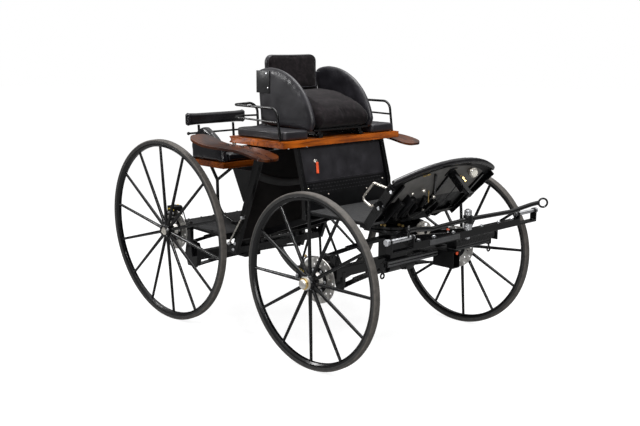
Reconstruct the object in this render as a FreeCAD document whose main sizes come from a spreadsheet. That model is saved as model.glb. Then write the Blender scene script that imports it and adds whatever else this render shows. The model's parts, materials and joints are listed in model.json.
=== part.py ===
"""Sprung driving carriage with four spoked wheels, a driver's seat and a groom's seat.

Millimetres. +X is the direction of travel, +Y the vehicle's left, +Z up. The origin lies on the
ground, below the middle of the overall length. Every driving dimension is a cell of the sheet "Sizes"; a Size
carries its number together with the formula that the document's expressions use.
"""
import FreeCAD, Part
import math
import os
import Sketcher
from FreeCAD import Placement, Rotation, Vector

# name, value, meaning. Lengths in mm, angles in degrees.
DIMENSIONS = [
    ("wheelbase", 1355.0, "distance between the axles"),
    ("track", 1391.2, "distance between wheel centres at hub level"),
    ("rear_wheel_radius", 600.0, "rear tyre, outer"),
    ("front_wheel_radius", 510.0, "front tyre, outer"),
    ("rear_camber", 2.43, "rear wheels lean out at the top"),
    ("front_camber", 1.42, "front wheels lean out at the top"),
    ("rear_spokes", 14, "spokes in a rear wheel"),
    ("front_spokes", 12, "spokes in a front wheel"),
    ("tyre_width", 44.0, "solid rubber tyre"),
    ("tyre_depth", 26.0, "tyre, radially"),
    ("tyre_edge", 9.0, "rounding of the tread edges"),
    ("rim_width", 36.0, "steel rim channel"),
    ("rim_depth", 20.0, "rim channel, radially"),
    ("spoke_root", 11.0, "spoke radius at the hub"),
    ("spoke_tip", 8.5, "spoke radius at the rim"),
    ("barrel_radius", 46.0, "hub barrel that holds the spokes"),
    ("barrel_half", 30.0, "half the barrel's length"),
    ("barrel_bevel", 12.0, "bevel at the barrel's ends, along the axle"),
    ("sleeve_radius", 30.0, "hub sleeve inside the barrel"),
    ("stub_radius", 17.0, "stub axle"),
    ("shoulder_radius", 25.0, "stub axle's shoulder"),
    ("stub_end", 6.0, "stub axle's end inboard of the wheel's plane"),
    ("shoulder_gap", 7.0, "stub axle's shoulder to the hub"),
    ("running_gap", 0.5, "stub axle to hub bore"),
    ("disc_radius", 134.0, "brake disc"),
    ("disc_thickness", 6.0, "brake disc"),
    ("disc_hole", 6.5, "brake disc's cooling holes, radius"),
    ("disc_holes", 12, "cooling holes in one ring"),
    ("disc_inset", 60.0, "brake disc's plane inboard of the wheel's plane"),
    ("disc_gap", 5.0, "brake disc to caliper"),
    ("hub_lip", 4.0, "hub beyond the brake disc's inner face"),
    ("caliper_inboard", 36.0, "caliper inboard of the disc's plane"),
    ("caliper_outboard", 26.0, "caliper outboard of the disc's plane"),
    ("bracket_thickness", 12.0, "caliper bracket"),
    ("hose_radius", 4.0, "brake hose"),
    ("rear_cap", 24.0, "rear hub cap beyond the wheel's plane"),
    ("front_cap", 66.0, "front hub cap beyond the wheel's plane"),
    ("upright_inner", 500.0, "inner face of the suspension uprights from the middle"),
    ("upright_thickness", 26.0, "suspension upright, across the vehicle"),
    ("knuckle_width", 34.0, "block that holds the rear spring eyes, across the vehicle"),
    ("knuckle_half", 60.0, "half that block's length along the vehicle"),
    ("beam_size", 56.0, "square axle beam"),
    ("spring_width", 50.0, "leaf springs, along the vehicle"),
    ("leaf_thickness", 7.0, "one leaf"),
    ("clamp_half", 80.0, "half the flat, clamped length of a leaf spring"),
    ("eye_roll", 10.0, "spring eye, outer radius"),
    ("eye_clearance", 0.3, "spring eye to its seat"),
    ("rear_upper_eye", 495.0, "rear upper spring's eyes above the ground"),
    ("rear_lower_eye", 325.0, "rear lower spring's eyes above the ground"),
    ("front_upper_eye", 640.0, "front upper spring's eyes above the ground"),
    ("front_lower_eye", 435.0, "front lower spring's eyes above the ground"),
    ("rear_eye_half", 478.0, "rear spring eyes from the middle"),
    ("front_upper_half", 550.0, "front upper spring eyes from the middle"),
    ("front_lower_half", 453.0, "front lower spring eyes from the middle"),
    ("front_upper_rise", 25.0, "rise of the front upper spring"),
    ("front_lower_rise", 36.0, "rise of the front lower spring"),
    ("rear_beam_height", 392.0, "centre of the rear axle beam"),
    ("front_beam_height", 530.0, "centre of the front axle beam"),
    ("board_front", 260.0, "driver's seat board, front edge"),
    ("board_rear", -236.0, "driver's seat board, rear edge"),
    ("board_half", 519.0, "half the board's width"),
    ("board_top", 1244.0, "board's upper face above the ground"),
    ("board_thickness", 40.0, "driver's seat board"),
    ("board_cove", 12.0, "groove along the seat board's rear edge, radius"),
    ("pad_inner", 284.0, "side pad, inner edge"),
    ("pad_outer", 488.0, "side pad, outer edge"),
    ("pad_front", 240.0, "side pad, front end"),
    ("pad_rear", -206.0, "side pad, rear end"),
    ("pad_height", 56.0, "side pad"),
    ("pad_corner", 24.0, "side pad's corner radius"),
    ("seat_half", 237.0, "half the width between the seat wings"),
    ("wing_thickness", 46.0, "padded seat wing"),
    ("seat_floor", 1287.0, "underside of the driver's cushion"),
    ("slide_height", 20.0, "seat slide rails"),
    ("rail_radius", 8.0, "side rail tube"),
    ("rail_top", 1438.0, "upper side rail"),
    ("rail_lower", 1354.0, "lower side rail"),
    ("leg_half", 388.0, "centre of the rear legs from the middle"),
    ("leg_depth", 46.0, "rear leg along the vehicle, at the foot"),
    ("leg_width", 28.0, "rear leg across the vehicle"),
    ("leg_head_depth", 62.0, "rear leg along the vehicle, at the head"),
    ("leg_foot", -355.0, "rear leg's foot, along the vehicle"),
    ("leg_head", -58.0, "rear leg's head, along the vehicle"),
    ("leg_low", 450.0, "underside of the rear legs"),
    ("leg_beam", 44.0, "square beam between the rear legs' feet"),
    ("front_leg_half", 378.0, "centre of the front legs from the middle"),
    ("front_leg_width", 24.0, "front leg across the vehicle"),
    ("front_leg_head", 224.0, "front leg's head, along the vehicle"),
    ("front_leg_depth", 30.0, "front leg along the vehicle"),
    ("panel_low", 530.0, "rear mesh panel's lower edge"),
    ("panel_high", 1150.0, "rear mesh panel's upper edge"),
    ("sheet_thickness", 6.0, "mesh panel and the groom's box"),
    ("floor_top", 814.0, "footwell floor"),
    ("floor_thickness", 14.0, "footwell floor"),
    ("floor_ahead", 121.5, "footwell floor's front edge ahead of the front axle"),
    ("floor_rear", 285.0, "footwell floor, rear edge"),
    ("frame_half", 160.0, "centre of the chassis tubes from the middle"),
    ("frame_size", 36.0, "square chassis tubes"),
    ("frame_bend", -340.0, "where the chassis tubes start to rise"),
    ("steering_gap", 5.0, "between the turntable's two rings"),
    ("ring_outer", 190.0, "turntable ring, outer radius"),
    ("ring_inner", 130.0, "turntable ring, inner radius"),
    ("ring_thickness", 16.0, "one turntable ring"),
    ("kingpin_radius", 22.0, "kingpin"),
    ("platform_top", 586.0, "groom's platform"),
    ("platform_thickness", 18.0, "groom's platform"),
    ("platform_behind", 272.5, "platform's rear edge behind the rear axle"),
    ("platform_front", -380.0, "platform, front edge"),
    ("platform_half_rear", 430.0, "half the platform's width at the rear"),
    ("platform_half_front", 484.0, "half the platform's width at the front"),
    ("groom_top", 1018.0, "groom's seat board"),
    ("groom_thickness", 40.0, "groom's seat board"),
    ("groom_front", -574.0, "groom's seat board, front edge"),
    ("groom_rear", -940.0, "groom's seat board, rear edge"),
    ("groom_half", 300.0, "half the groom's seat's width"),
    ("bolster_thickness", 62.0, "groom's side bolster"),
    ("groom_pad_top", 1322.0, "groom's backrest, top"),
    ("post_half", 157.0, "groom's backrest posts from the middle"),
    ("post_radius", 9.0, "groom's backrest posts"),
    ("stay_half", 205.0, "stays of the groom's seat from the middle"),
    ("stay_radius", 11.0, "stays of the groom's seat"),
    ("box_top", 977.0, "groom's box, rim"),
    ("box_low", 750.0, "groom's box, underside"),
    ("box_half", 220.0, "half the groom's box's width"),
    ("guard_thickness", 14.0, "bent wood mudguard"),
    ("guard_inner", 550.0, "mudguard, inner edge"),
    ("guard_outer", 735.0, "mudguard, outer edge"),
    ("guard_corner", 70.0, "mudguard's rounded ends"),
    ("guard_flat", 1200.0, "mudguard's level stretch above the ground"),
    ("guard_rear", -400.0, "mudguard, rear end"),
    ("guard_front", 300.0, "mudguard, front end"),
    ("dash_slope", 46.5, "dash leans forward, above the horizontal"),
    ("web_depth", 40.0, "side webs below the dash's upper face"),
    ("web_lip", 14.0, "side webs above the dash's upper face"),
    ("dash_thickness", 10.0, "dash panel"),
    ("web_thickness", 8.0, "dash's side webs"),
    ("dash_half_low", 383.0, "half the dash's width at the floor"),
    ("dash_half_high", 459.0, "half the dash's width at the rim's corners"),
    ("dash_reach", 384.0, "floor to the rim's corners, along the slope"),
    ("dash_arch", 118.0, "rise of the rim's arch, along the slope"),
    ("rim_roll", 17.0, "radius of the dash's padded rim"),
    ("splinter_ahead", 552.5, "splinter bar ahead of the front axle"),
    ("crossbar_ahead", 355.5, "lower crossbar ahead of the front axle"),
    ("socket_ahead", 482.5, "pole socket's mouth ahead of the front axle"),
    ("splinter_low", 757.0, "splinter bar's underside"),
    ("splinter_size", 40.0, "square splinter bar"),
    ("splinter_half", 484.0, "splinter bar to its end brackets"),
    ("bracket_span", 186.0, "length of an end bracket"),
    ("bolt_radius", 12.0, "trace bolt"),
    ("bolt_height", 822.0, "trace bolts' centres"),
    ("crossbar_height", 638.0, "lower crossbar's centre"),
    ("crossbar_size", 36.0, "square lower crossbar"),
    ("crossbar_half", 474.0, "half the lower crossbar's length"),
    ("socket_width", 62.0, "pole socket, outside"),
    ("socket_height", 96.0, "pole socket, outside"),
    ("socket_wall", 5.0, "pole socket"),
    ("pole_pin_ahead", 422.5, "pole pin's bore ahead of the front axle"),
    ("pole_pin_radius", 6.0, "pole pin's bore"),
    ("tree_height", 856.0, "swingletree tube's centre"),
    ("tree_radius", 13.0, "swingletree tube"),
    ("tree_pin", 10.0, "swingletree's pin"),
    ("tree_boss", 40.0, "swingletree's boss, upright"),
    ("eye_radius", 26.0, "swingletree ring, to the wire's centre"),
    ("eye_wire", 6.0, "radius of the ring's wire"),
    ("eye_ahead", 90.0, "rings' centres ahead of the splinter bar"),
    ("eye_half", 622.0, "rings' centres from the middle"),
    ("eye_above", 30.0, "rings' centres above the swingletree"),
]

DOC = FreeCAD.newDocument("Carriage")
SHEET = DOC.addObject("Spreadsheet::Sheet", "Sizes")


class Size:
    """A length with its number and the formula that gives it in the document."""

    def __init__(self, number, formula):
        self.number = number
        self.formula = formula

    def __add__(self, other):
        other = size(other)
        return Size(self.number + other.number, f"({self.formula} + {other.formula})")

    def __radd__(self, other):
        return size(other) + self

    def __sub__(self, other):
        other = size(other)
        return Size(self.number - other.number, f"({self.formula} - {other.formula})")

    def __rsub__(self, other):
        return size(other) - self

    def __mul__(self, factor):
        factor = size(factor)
        return Size(self.number * factor.number, f"({self.formula} * {factor.formula})")

    __rmul__ = __mul__

    def __truediv__(self, divisor):
        return Size(self.number / divisor, f"({self.formula} / {divisor})")

    def __neg__(self):
        return Size(-self.number, f"(-{self.formula})")

    def __float__(self):
        return float(self.number)


def size(value):
    return value if isinstance(value, Size) else Size(float(value), repr(float(value)))


class Sizes:
    """The sheet's cells as attributes."""


def fill_sheet():
    cells = Sizes()
    for row, (name, value, meaning) in enumerate(DIMENSIONS, start=1):
        SHEET.set(f"A{row}", meaning)
        SHEET.set(f"B{row}", str(value))
        SHEET.setAlias(f"B{row}", name)
        setattr(cells, name, Size(value, f"Sizes.{name}"))
    DOC.recompute()
    return cells


S = fill_sheet()
PARTS = {}
# The pieces are drawn midway between the axles, and node() names them. set_down() then moves each
# one back so that the origin lies below the middle of the overall length.
REAR_AXLE = -S.wheelbase / 2
FRONT_AXLE = S.wheelbase / 2
FLOOR_FRONT = FRONT_AXLE + S.floor_ahead
SPLINTER_X = FRONT_AXLE + S.splinter_ahead
CROSSBAR_X = FRONT_AXLE + S.crossbar_ahead
FRAME_LOW = S.platform_top - S.platform_thickness - S.frame_size
DISC_ACROSS = S.track / 2 - S.disc_inset
FOREMOST = SPLINTER_X + S.eye_ahead + S.eye_radius * math.sqrt(0.5) + S.eye_wire
MIDDLE = (FOREMOST + REAR_AXLE - S.rear_wheel_radius) / 2


def bind(thing, prop, value):
    value = size(value)
    if "Sizes." in value.formula:
        thing.setExpression(prop, value.formula)
    else:
        thing.setExpression(prop, None)
        holder, _, leaf = prop.rpartition(".")
        if holder == "Placement.Base":
            base = thing.Placement.Base
            setattr(base, leaf, value.number)
            thing.Placement = Placement(base, thing.Placement.Rotation)
        else:
            setattr(thing, prop, value.number)


def place(thing, position):
    for axis, value in zip("xyz", position):
        bind(thing, f"Placement.Base.{axis}", value)


def point(x, y, z):
    return Vector(float(x), float(y), float(z))


def block(name, xs, ys, zs):
    """Box between two limits on each axis."""
    box = DOC.addObject("Part::Box", name)
    for prop, (low, high) in zip(("Length", "Width", "Height"), (xs, ys, zs)):
        bind(box, prop, size(high) - low)
    place(box, (xs[0], ys[0], zs[0]))
    return box


def rod(name, start, end, radius):
    """Round bar between two points."""
    bar = DOC.addObject("Part::Cylinder", name)
    bind(bar, "Radius", radius)
    run = point(*end) - point(*start)
    bar.Height = run.Length
    bar.Placement = Placement(point(*start), Rotation(Vector(0, 0, 1), run))
    place(bar, start)
    return bar


def bar_between(name, start, end, width, depth, side=Vector(0, 1, 0)):
    """Rectangular bar between the centres of its ends; its width lies along side."""
    run = point(*end) - point(*start)
    box = DOC.addObject("Part::Box", name)
    bind(box, "Length", depth)
    bind(box, "Width", width)
    box.Height = run.Length
    across = side.cross(run).normalize()
    turn = Rotation(across, side, run, "ZYX")
    middle = turn.multVec(point(depth, width, 0)) * 0.5
    box.Placement = Placement(point(*start) - middle, turn)
    return box


def fuse(name, pieces):
    joined = DOC.addObject("Part::MultiFuse", name)
    joined.Shapes = pieces
    joined.Refine = True
    return joined


def cut(name, base, tool):
    rest = DOC.addObject("Part::Cut", name)
    rest.Base = base
    rest.Tool = tool
    return rest


def common(name, base, tool):
    shared = DOC.addObject("Part::Common", name)
    shared.Base = base
    shared.Tool = tool
    return shared


def group(name, pieces):
    """Separate solids as one node."""
    whole = DOC.addObject("Part::Compound", name)
    whole.Links = pieces
    return whole


def mirrored(name, source):
    """The same piece on the vehicle's other side."""
    other = DOC.addObject("Part::Mirroring", name)
    other.Source = source
    other.Normal = Vector(0, 1, 0)
    return other


def both_sides(name, source):
    """The piece and its mirror image as one node."""
    return group(name, [source, mirrored(name + "_other", source)])


def node(label, thing):
    PARTS[label] = thing
    return thing


def plane_of(body, role):
    return next(item for item in body.Origin.OriginFeatures if item.Role == role)


def draw(sketch, outline):
    """Closed outline of (x, y) corners; (x, y, sagitta) reaches its corner by an arc."""
    corners = [(size(c[0]), size(c[1])) for c in outline]
    starts, ends = [], []
    for index, (x, y) in enumerate(corners):
        before = corners[index - 1]
        a = Vector(float(before[0]), float(before[1]), 0)
        b = Vector(float(x), float(y), 0)
        sagitta = float(outline[index][2]) if len(outline[index]) > 2 else 0.0
        if sagitta:
            chord = b - a
            normal = Vector(-chord.y, chord.x, 0).normalize()
            middle = (a + b) * 0.5 + normal * sagitta
            forward = sagitta < 0
            ends_in_turn = (a, middle, b) if forward else (b, middle, a)
            edge = sketch.addGeometry(Part.Arc(*ends_in_turn), False)
            radius = sketch.Geometry[edge].Radius
            sketch.addConstraint(Sketcher.Constraint("Radius", edge, radius))
        else:
            edge = sketch.addGeometry(Part.LineSegment(a, b), False)
            forward = True
        starts.append((edge, 1 if forward else 2))
        ends.append((edge, 2 if forward else 1))
    for index, (x, y) in enumerate(corners):
        after = starts[(index + 1) % len(corners)]
        sketch.addConstraint(Sketcher.Constraint("Coincident", *ends[index], *after))
        for kind, value in (("DistanceX", x), ("DistanceY", y)):
            rule = Sketcher.Constraint(kind, -1, 1, *ends[index], value.number)
            number = sketch.addConstraint(rule)
            if "Sizes." in value.formula:
                sketch.setExpression(f"Constraints[{number}]", value.formula)


def sketch_in(body, name, plane, outline, offset=0.0):
    sketch = body.newObject("Sketcher::SketchObject", name)
    sketch.AttachmentSupport = [(plane_of(body, plane), "")]
    sketch.MapMode = "FlatFace"
    bind_offset(sketch, offset)
    draw(sketch, outline)
    return sketch


def bind_offset(sketch, offset):
    offset = size(offset)
    sketch.AttachmentOffset = Placement(Vector(0, 0, offset.number), Rotation())
    if "Sizes." in offset.formula:
        sketch.setExpression("AttachmentOffset.Base.z", offset.formula)


def plate(name, plane, outline, low, high):
    """Outline in one of the principal planes, extruded from low to high along its normal axis."""
    body = DOC.addObject("PartDesign::Body", name)
    start = -size(high) if plane == "XZ_Plane" else size(low)
    sketch = sketch_in(body, name + "_outline", plane, outline, start)
    pad = body.newObject("PartDesign::Pad", name + "_pad")
    pad.Profile = sketch
    bind(pad, "Length", size(high) - low)
    return body


def turned(name, outline):
    """Outline of (radius, height) corners turned about the body's Z axis."""
    body = DOC.addObject("PartDesign::Body", name)
    turn(body, name, outline)
    return body


def turn(body, name, outline):
    sketch = sketch_in(body, name + "_profile", "XZ_Plane", outline)
    feature = body.newObject("PartDesign::Revolution", name + "_turn")
    feature.Profile = sketch
    feature.ReferenceAxis = (sketch, ["V_Axis"])
    feature.Angle = 360
    return feature


WIDEST = 0.45  # share of the shorter run that an arc takes


def rounded_path(points, bend):
    """Wire through the points with an arc at each inner corner; bend 0 takes the widest arc."""
    edges = []
    start = points[0]
    for before, corner, after in zip(points, points[1:], points[2:]):
        into = (corner - before).normalize()
        out = (after - corner).normalize()
        half = into.getAngle(out) / 2
        shorter = min((corner - before).Length, (after - corner).Length)
        radius = bend or WIDEST * shorter / math.tan(half)
        reach = radius * math.tan(half)
        arc_start = corner - into * reach
        arc_end = corner + out * reach
        middle = corner + (out - into).normalize() * (radius / math.cos(half) - radius)
        edges.append(Part.makeLine(start, arc_start))
        edges.append(Part.Arc(arc_start, middle, arc_end).toShape())
        start = arc_end
    edges.append(Part.makeLine(start, points[-1]))
    return Part.Wire(edges)


def bent_tube(name, points, radius, bend):
    """Round bar swept along a bent route."""
    points = [point(*p) for p in points]
    spine = DOC.addObject("Part::Feature", name + "_route")
    spine.Shape = rounded_path(points, float(bend))
    profile = DOC.addObject("Part::Circle", name + "_section")
    bind(profile, "Radius", radius)
    profile.Placement = Placement(points[0], Rotation(Vector(0, 0, 1), points[1] - points[0]))
    sweep = DOC.addObject("Part::Sweep", name)
    sweep.Sections = [profile]
    sweep.Spine = (spine, [f"Edge{n + 1}" for n in range(len(spine.Shape.Edges))])
    sweep.Solid = True
    sweep.Frenet = False
    return sweep


def hub_height(radius, camber):
    """Centre height at which a leaning tyre touches the ground."""
    lean = math.radians(float(camber))
    flat = float(S.tyre_width) / 2 - float(S.tyre_edge)
    core = float(radius) - float(S.tyre_edge)
    return core * math.cos(lean) + flat * math.sin(lean) + float(S.tyre_edge)


def wheel_placement(x, radius, camber, side):
    """Local Z points out of the vehicle along the stub axle; side is 1 on the left."""
    lean = Rotation(Vector(1, 0, 0), -side * (90 + float(camber)))
    return Placement(point(x, side * S.track / 2, hub_height(radius, camber)), lean)


# ---------------------------------------------------------------- wheels
def tyre(name, radius):
    half = S.tyre_width / 2
    inner = radius - S.tyre_depth
    taper = 3
    edge_bulge = float(S.tyre_edge) * (1 - math.sqrt(0.5))
    return turned(name, [
        (inner, -half + taper), (radius - S.tyre_edge, -half), (radius, -half + S.tyre_edge, -edge_bulge),
        (radius, half - S.tyre_edge), (radius - S.tyre_edge, half, -edge_bulge), (inner, half - taper),
    ])


def spoked_wheel(name, radius, spokes):
    """Rim channel, hub barrel and tapered spokes."""
    body = DOC.addObject("PartDesign::Body", name)
    rim_outer = radius - S.tyre_depth
    rim_inner = rim_outer - S.rim_depth
    half = S.rim_width / 2
    lip, chamfer = 9, 8
    turn(body, name + "_rim", [
        (rim_inner, -half + chamfer), (rim_outer - lip, -half), (rim_outer, -half),
        (rim_outer, half), (rim_outer - lip, half), (rim_inner, half - chamfer),
    ])
    waist = S.barrel_radius - 6
    bevel = S.barrel_half - S.barrel_bevel
    turn(body, name + "_barrel", [
        (S.sleeve_radius, -S.barrel_half), (waist, -S.barrel_half),
        (S.barrel_radius, -bevel), (S.barrel_radius, bevel),
        (waist, S.barrel_half), (S.sleeve_radius, S.barrel_half),
    ])
    sunk = 8
    root = S.barrel_radius - sunk
    spoke = body.newObject("PartDesign::AdditiveCone", name + "_spoke")
    bind(spoke, "Radius1", S.spoke_root)
    bind(spoke, "Radius2", S.spoke_tip)
    bind(spoke, "Height", rim_inner + sunk - root)
    spoke.Placement = Placement(Vector(float(root), 0, 0), Rotation(Vector(0, 1, 0), 90))
    DOC.recompute()
    pattern = body.newObject("PartDesign::PolarPattern", name + "_spokes")
    pattern.Originals = [spoke]
    pattern.Axis = (plane_of(body, "Z_Axis"), [""])
    pattern.Angle = 360
    bind(pattern, "Occurrences", spokes)
    body.Tip = pattern
    return body


def hub(name, cap):
    """Sleeve through the barrel with a cap outboard and a drilled brake disc inboard."""
    body = DOC.addObject("PartDesign::Body", name)
    bore = S.stub_radius + S.running_gap
    flange = S.barrel_half
    sleeve = S.sleeve_radius
    nose = sleeve - 3
    collar = sleeve + 8
    carrier = sleeve + 18
    disc_out = -S.disc_inset + S.disc_thickness / 2
    disc_in = -S.disc_inset - S.disc_thickness / 2
    blind = cap - 12
    if float(cap) < float(flange):
        outer_end = [(0, cap), (sleeve - 4, cap), (sleeve, cap - 4)]
    else:
        outer_end = [(0, cap), (nose - 5, cap), (nose, cap - 6), (nose, flange + 14),
                     (collar, flange + 10), (collar, flange), (sleeve, flange)]
    turn(body, name, [(bore, disc_in - S.hub_lip), (bore, blind), (0, blind)] + outer_end + [
        (sleeve, -flange), (carrier - 4, -flange), (carrier + 4, disc_out), (S.disc_radius, disc_out),
        (S.disc_radius, disc_in), (carrier, disc_in), (carrier, disc_in - S.hub_lip),
    ])
    drill_disc(body, name)
    return body


# Rings of cooling holes: share of the disc's radius, turn of the first hole in degrees.
COOLING_RINGS = ((0.88, 0.0), (0.70, 15.0))


def drill_disc(body, name):
    for ring, (share, start) in enumerate(COOLING_RINGS):
        hole = body.newObject("PartDesign::SubtractiveCylinder", f"{name}_hole{ring}")
        bind(hole, "Radius", S.disc_hole)
        bind(hole, "Height", S.disc_thickness * 3)
        turned_to = Rotation(Vector(0, 0, 1), start)
        below = float(S.disc_inset + S.disc_thickness * 1.5)
        centre = turned_to.multVec(Vector(float(S.disc_radius) * share, 0, -below))
        hole.Placement = Placement(centre, Rotation())
        DOC.recompute()
        pattern = body.newObject("PartDesign::PolarPattern", f"{name}_holes{ring}")
        pattern.Originals = [hole]
        pattern.Axis = (plane_of(body, "Z_Axis"), [""])
        pattern.Angle = 360
        bind(pattern, "Occurrences", S.disc_holes)
        body.Tip = pattern
        DOC.recompute()


def wheels():
    # end, side, side's sign, turn of the wheel about its axle in degrees
    corners = (("rear", "left", 1, 6.0), ("rear", "right", -1, -10.7),
               ("front", "left", 1, -5.0), ("front", "right", -1, 0.0))
    # axle, radius, camber, spokes, hub cap
    kinds = {
        "rear": (REAR_AXLE, S.rear_wheel_radius, S.rear_camber, S.rear_spokes, S.rear_cap),
        "front": (FRONT_AXLE, S.front_wheel_radius, S.front_camber, S.front_spokes, S.front_cap),
    }
    for end, side_name, side, rolled in corners:
        x, radius, camber, spokes, cap = kinds[end]
        name = f"{end}_{side_name}"
        spot = wheel_placement(x, radius, camber, side)
        spot = spot.multiply(Placement(Vector(), Rotation(Vector(0, 0, 1), rolled)))
        pieces = (
            (f"{name}_tyre", tyre(f"{name}_tyre_body", radius)),
            (f"{name}_wheel", spoked_wheel(f"{name}_wheel_body", radius, spokes)),
            (f"{name}_hub", hub(f"{name}_hub_body", cap)),
        )
        for label, piece in pieces:
            piece.Placement = spot
            node(label, piece)


# ---------------------------------------------------------------- axles, springs, brakes
def stub_axle(name, x, radius, camber):
    """Left stub from the upright into the hub, along the leaning wheel's axis."""
    spot = wheel_placement(x, radius, camber, 1)
    outward = spot.Rotation.multVec(Vector(0, 0, 1))
    sunk = 4
    start = spot.Base - outward * float(S.track / 2 - S.upright_inner - sunk)
    end = spot.Base - outward * float(S.stub_end)
    hub_end = S.disc_inset + S.disc_thickness / 2 + S.hub_lip
    shoulder_end = spot.Base - outward * float(hub_end + S.shoulder_gap)
    return [rod(name, tuple(start), tuple(end), S.stub_radius),
            rod(name + "_shoulder", tuple(start), tuple(shoulder_end), S.shoulder_radius)]


def eye_grooves(label, x, spots):
    """Seats of the spring eyes, open towards the springs; spots are (across, height)."""
    half = S.knuckle_half + 1
    grip = S.eye_roll + S.eye_clearance
    mouth = S.leaf_thickness
    tools = []
    for number, (y, z) in enumerate(spots):
        tools.append(rod(f"{label}_groove{number}", (x - half, y, z), (x + half, y, z), grip))
        tools.append(block(f"{label}_mouth{number}", (x - half, x + half), (y - 60, y),
                           (z - mouth, z + mouth)))
    return fuse(label + "_grooves", tools)


def axle(label, x, beam_end, beam_height, side, seats):
    """Square beam whose ends carry the uprights, cut for the spring eyes."""
    half = S.beam_size / 2
    left = cut(label + "_left", fuse(label + "_side", side), eye_grooves(label, x, seats))
    beam = block(label + "_beam", (x - half, x + half), (-beam_end, beam_end),
                 (beam_height - half, beam_height + half))
    node(label, fuse(label + "_all", [beam, left, mirrored(label + "_right", left)]))


ROUND = 0.85  # rise of a rounded end over half its width


def rear_axle():
    """Knuckle blocks hold the spring eyes; a neck on each carries the stub and the caliper."""
    x = REAR_AXLE
    hub_z = hub_height(S.rear_wheel_radius, S.rear_camber)
    inner, outer = S.upright_inner, S.upright_inner + S.upright_thickness
    low, top = S.rear_lower_eye, S.rear_upper_eye
    wide, narrow, taper = S.knuckle_half, S.knuckle_half - 15, 40
    knuckle = plate("rear_knuckle", "XZ_Plane", [
        (x - narrow, low), (x + narrow, low), (x + wide, low + taper), (x + wide, top - taper),
        (x + narrow, top), (x - narrow, top), (x - wide, top - taper), (x - wide, low + taper),
    ], inner - S.knuckle_width, inner)
    foot, head = S.upright_thickness * 1.6, S.upright_thickness
    shoulder = hub_z + 14
    neck = plate("rear_neck", "XZ_Plane", [
        (x - foot, top - 95), (x + foot, top - 95), (x + head, top - 10), (x + head, shoulder),
        (x - head, shoulder, -ROUND * head), (x - head, top - 10),
    ], inner, outer)
    bracket_end = DISC_ACROSS - S.caliper_inboard
    reach, wide_end = 150, 32
    bracket = plate("rear_bracket", "XZ_Plane", [
        (x + wide_end, hub_z, -ROUND * wide_end), (x + 22, hub_z + reach), (x - 22, hub_z + reach),
        (x - wide_end, hub_z),
    ], bracket_end - S.bracket_thickness, bracket_end)
    stub = stub_axle("rear_stub", x, S.rear_wheel_radius, S.rear_camber)
    axle("rear_axle", x, inner - S.knuckle_width, S.rear_beam_height, [knuckle, neck, bracket] + stub,
         [(S.rear_eye_half, top), (S.rear_eye_half, low)])


def front_axle():
    """Uprights with a ledge for the upper eyes; links under the beam hold the lower ones."""
    x = FRONT_AXLE
    hub_z = hub_height(S.front_wheel_radius, S.front_camber)
    inner, outer = S.upright_inner, S.upright_inner + S.upright_thickness
    low, top = S.front_lower_eye, S.front_upper_eye
    foot, head = 42, 34
    upright = plate("front_upright", "XZ_Plane", [
        (x - foot + 10, hub_z - 30), (x + foot - 10, hub_z - 30), (x + foot, hub_z - 20),
        (x + foot, hub_z + 50), (x + head, top), (x - head, top), (x - foot, hub_z + 50),
        (x - foot, hub_z - 20),
    ], inner, outer)
    ledge = plate("front_ledge", "YZ_Plane", [
        (inner, top - 62), (outer, top - 62), (S.front_upper_half + 22, top - 26),
        (S.front_upper_half + 22, top), (inner, top),
    ], x - head, x + head)
    link = plate("front_link", "XZ_Plane", [
        (x - 22, low), (x + 22, low), (x + 30, low + 20), (x + 30, S.front_beam_height),
        (x - 30, S.front_beam_height), (x - 30, low + 20),
    ], S.front_lower_half - 13, S.front_lower_half + 13)
    bracket_end = DISC_ACROSS - S.caliper_inboard
    wide_end, back = 32, 150
    bracket = plate("front_bracket", "XZ_Plane", [
        (x - back, hub_z - 9), (x, hub_z - wide_end), (x, hub_z + wide_end, -ROUND * wide_end),
        (x - 88, hub_z + 61), (x - back, hub_z + 61),
    ], bracket_end - S.bracket_thickness, bracket_end)
    stub = stub_axle("front_stub", x, S.front_wheel_radius, S.front_camber)
    axle("front_axle", x, inner, S.front_beam_height, [upright, ledge, link, bracket] + stub,
         [(S.front_upper_half, top), (S.front_lower_half, low)])


# Lengths of the stacked leaves as shares of the longest, lowest one.
LEAF_SHARES = (1.0, 0.66, 0.36)


def leaf_spring(name, x, across, height, rise, flat):
    """Leaves across the vehicle, level where they are clamped; the lowest ends in rolled eyes."""
    flat, across, height, rise = float(flat), float(across), float(height), float(rise)
    thick = float(S.leaf_thickness)
    reach = across - flat
    curve = (reach ** 2 + rise ** 2) / (2 * rise)
    underside = height + rise - thick / 2
    near, far = x - S.spring_width / 2, x + S.spring_width / 2
    leaves = []
    for number, share in enumerate(LEAF_SHARES):
        run = reach * share
        faces = []
        for step in (number, number + 1):
            radius = curve + thick * (step - 0.5)
            drop = radius - math.sqrt(radius ** 2 - run ** 2)
            bulge = radius - math.sqrt(radius ** 2 - (run ** 2 + drop ** 2) / 4)
            level = underside + thick * step
            faces.append((level, level - drop, bulge))
        (low, low_end, low_bulge), (top, top_end, top_bulge) = faces
        end = flat + run
        leaves.append(plate(f"{name}_leaf{number}", "YZ_Plane", [
            (-flat, top, top_bulge), (flat, top), (end, top_end, top_bulge), (end, low_end),
            (flat, low, -low_bulge), (-flat, low), (-end, low_end, -low_bulge), (-end, top_end),
        ], near, far))
    eyes = [rod(f"{name}_eye{n}", (near, side * across, height), (far, side * across, height), S.eye_roll)
            for n, side in enumerate((1, -1))]
    return fuse(name, leaves + eyes)


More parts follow.
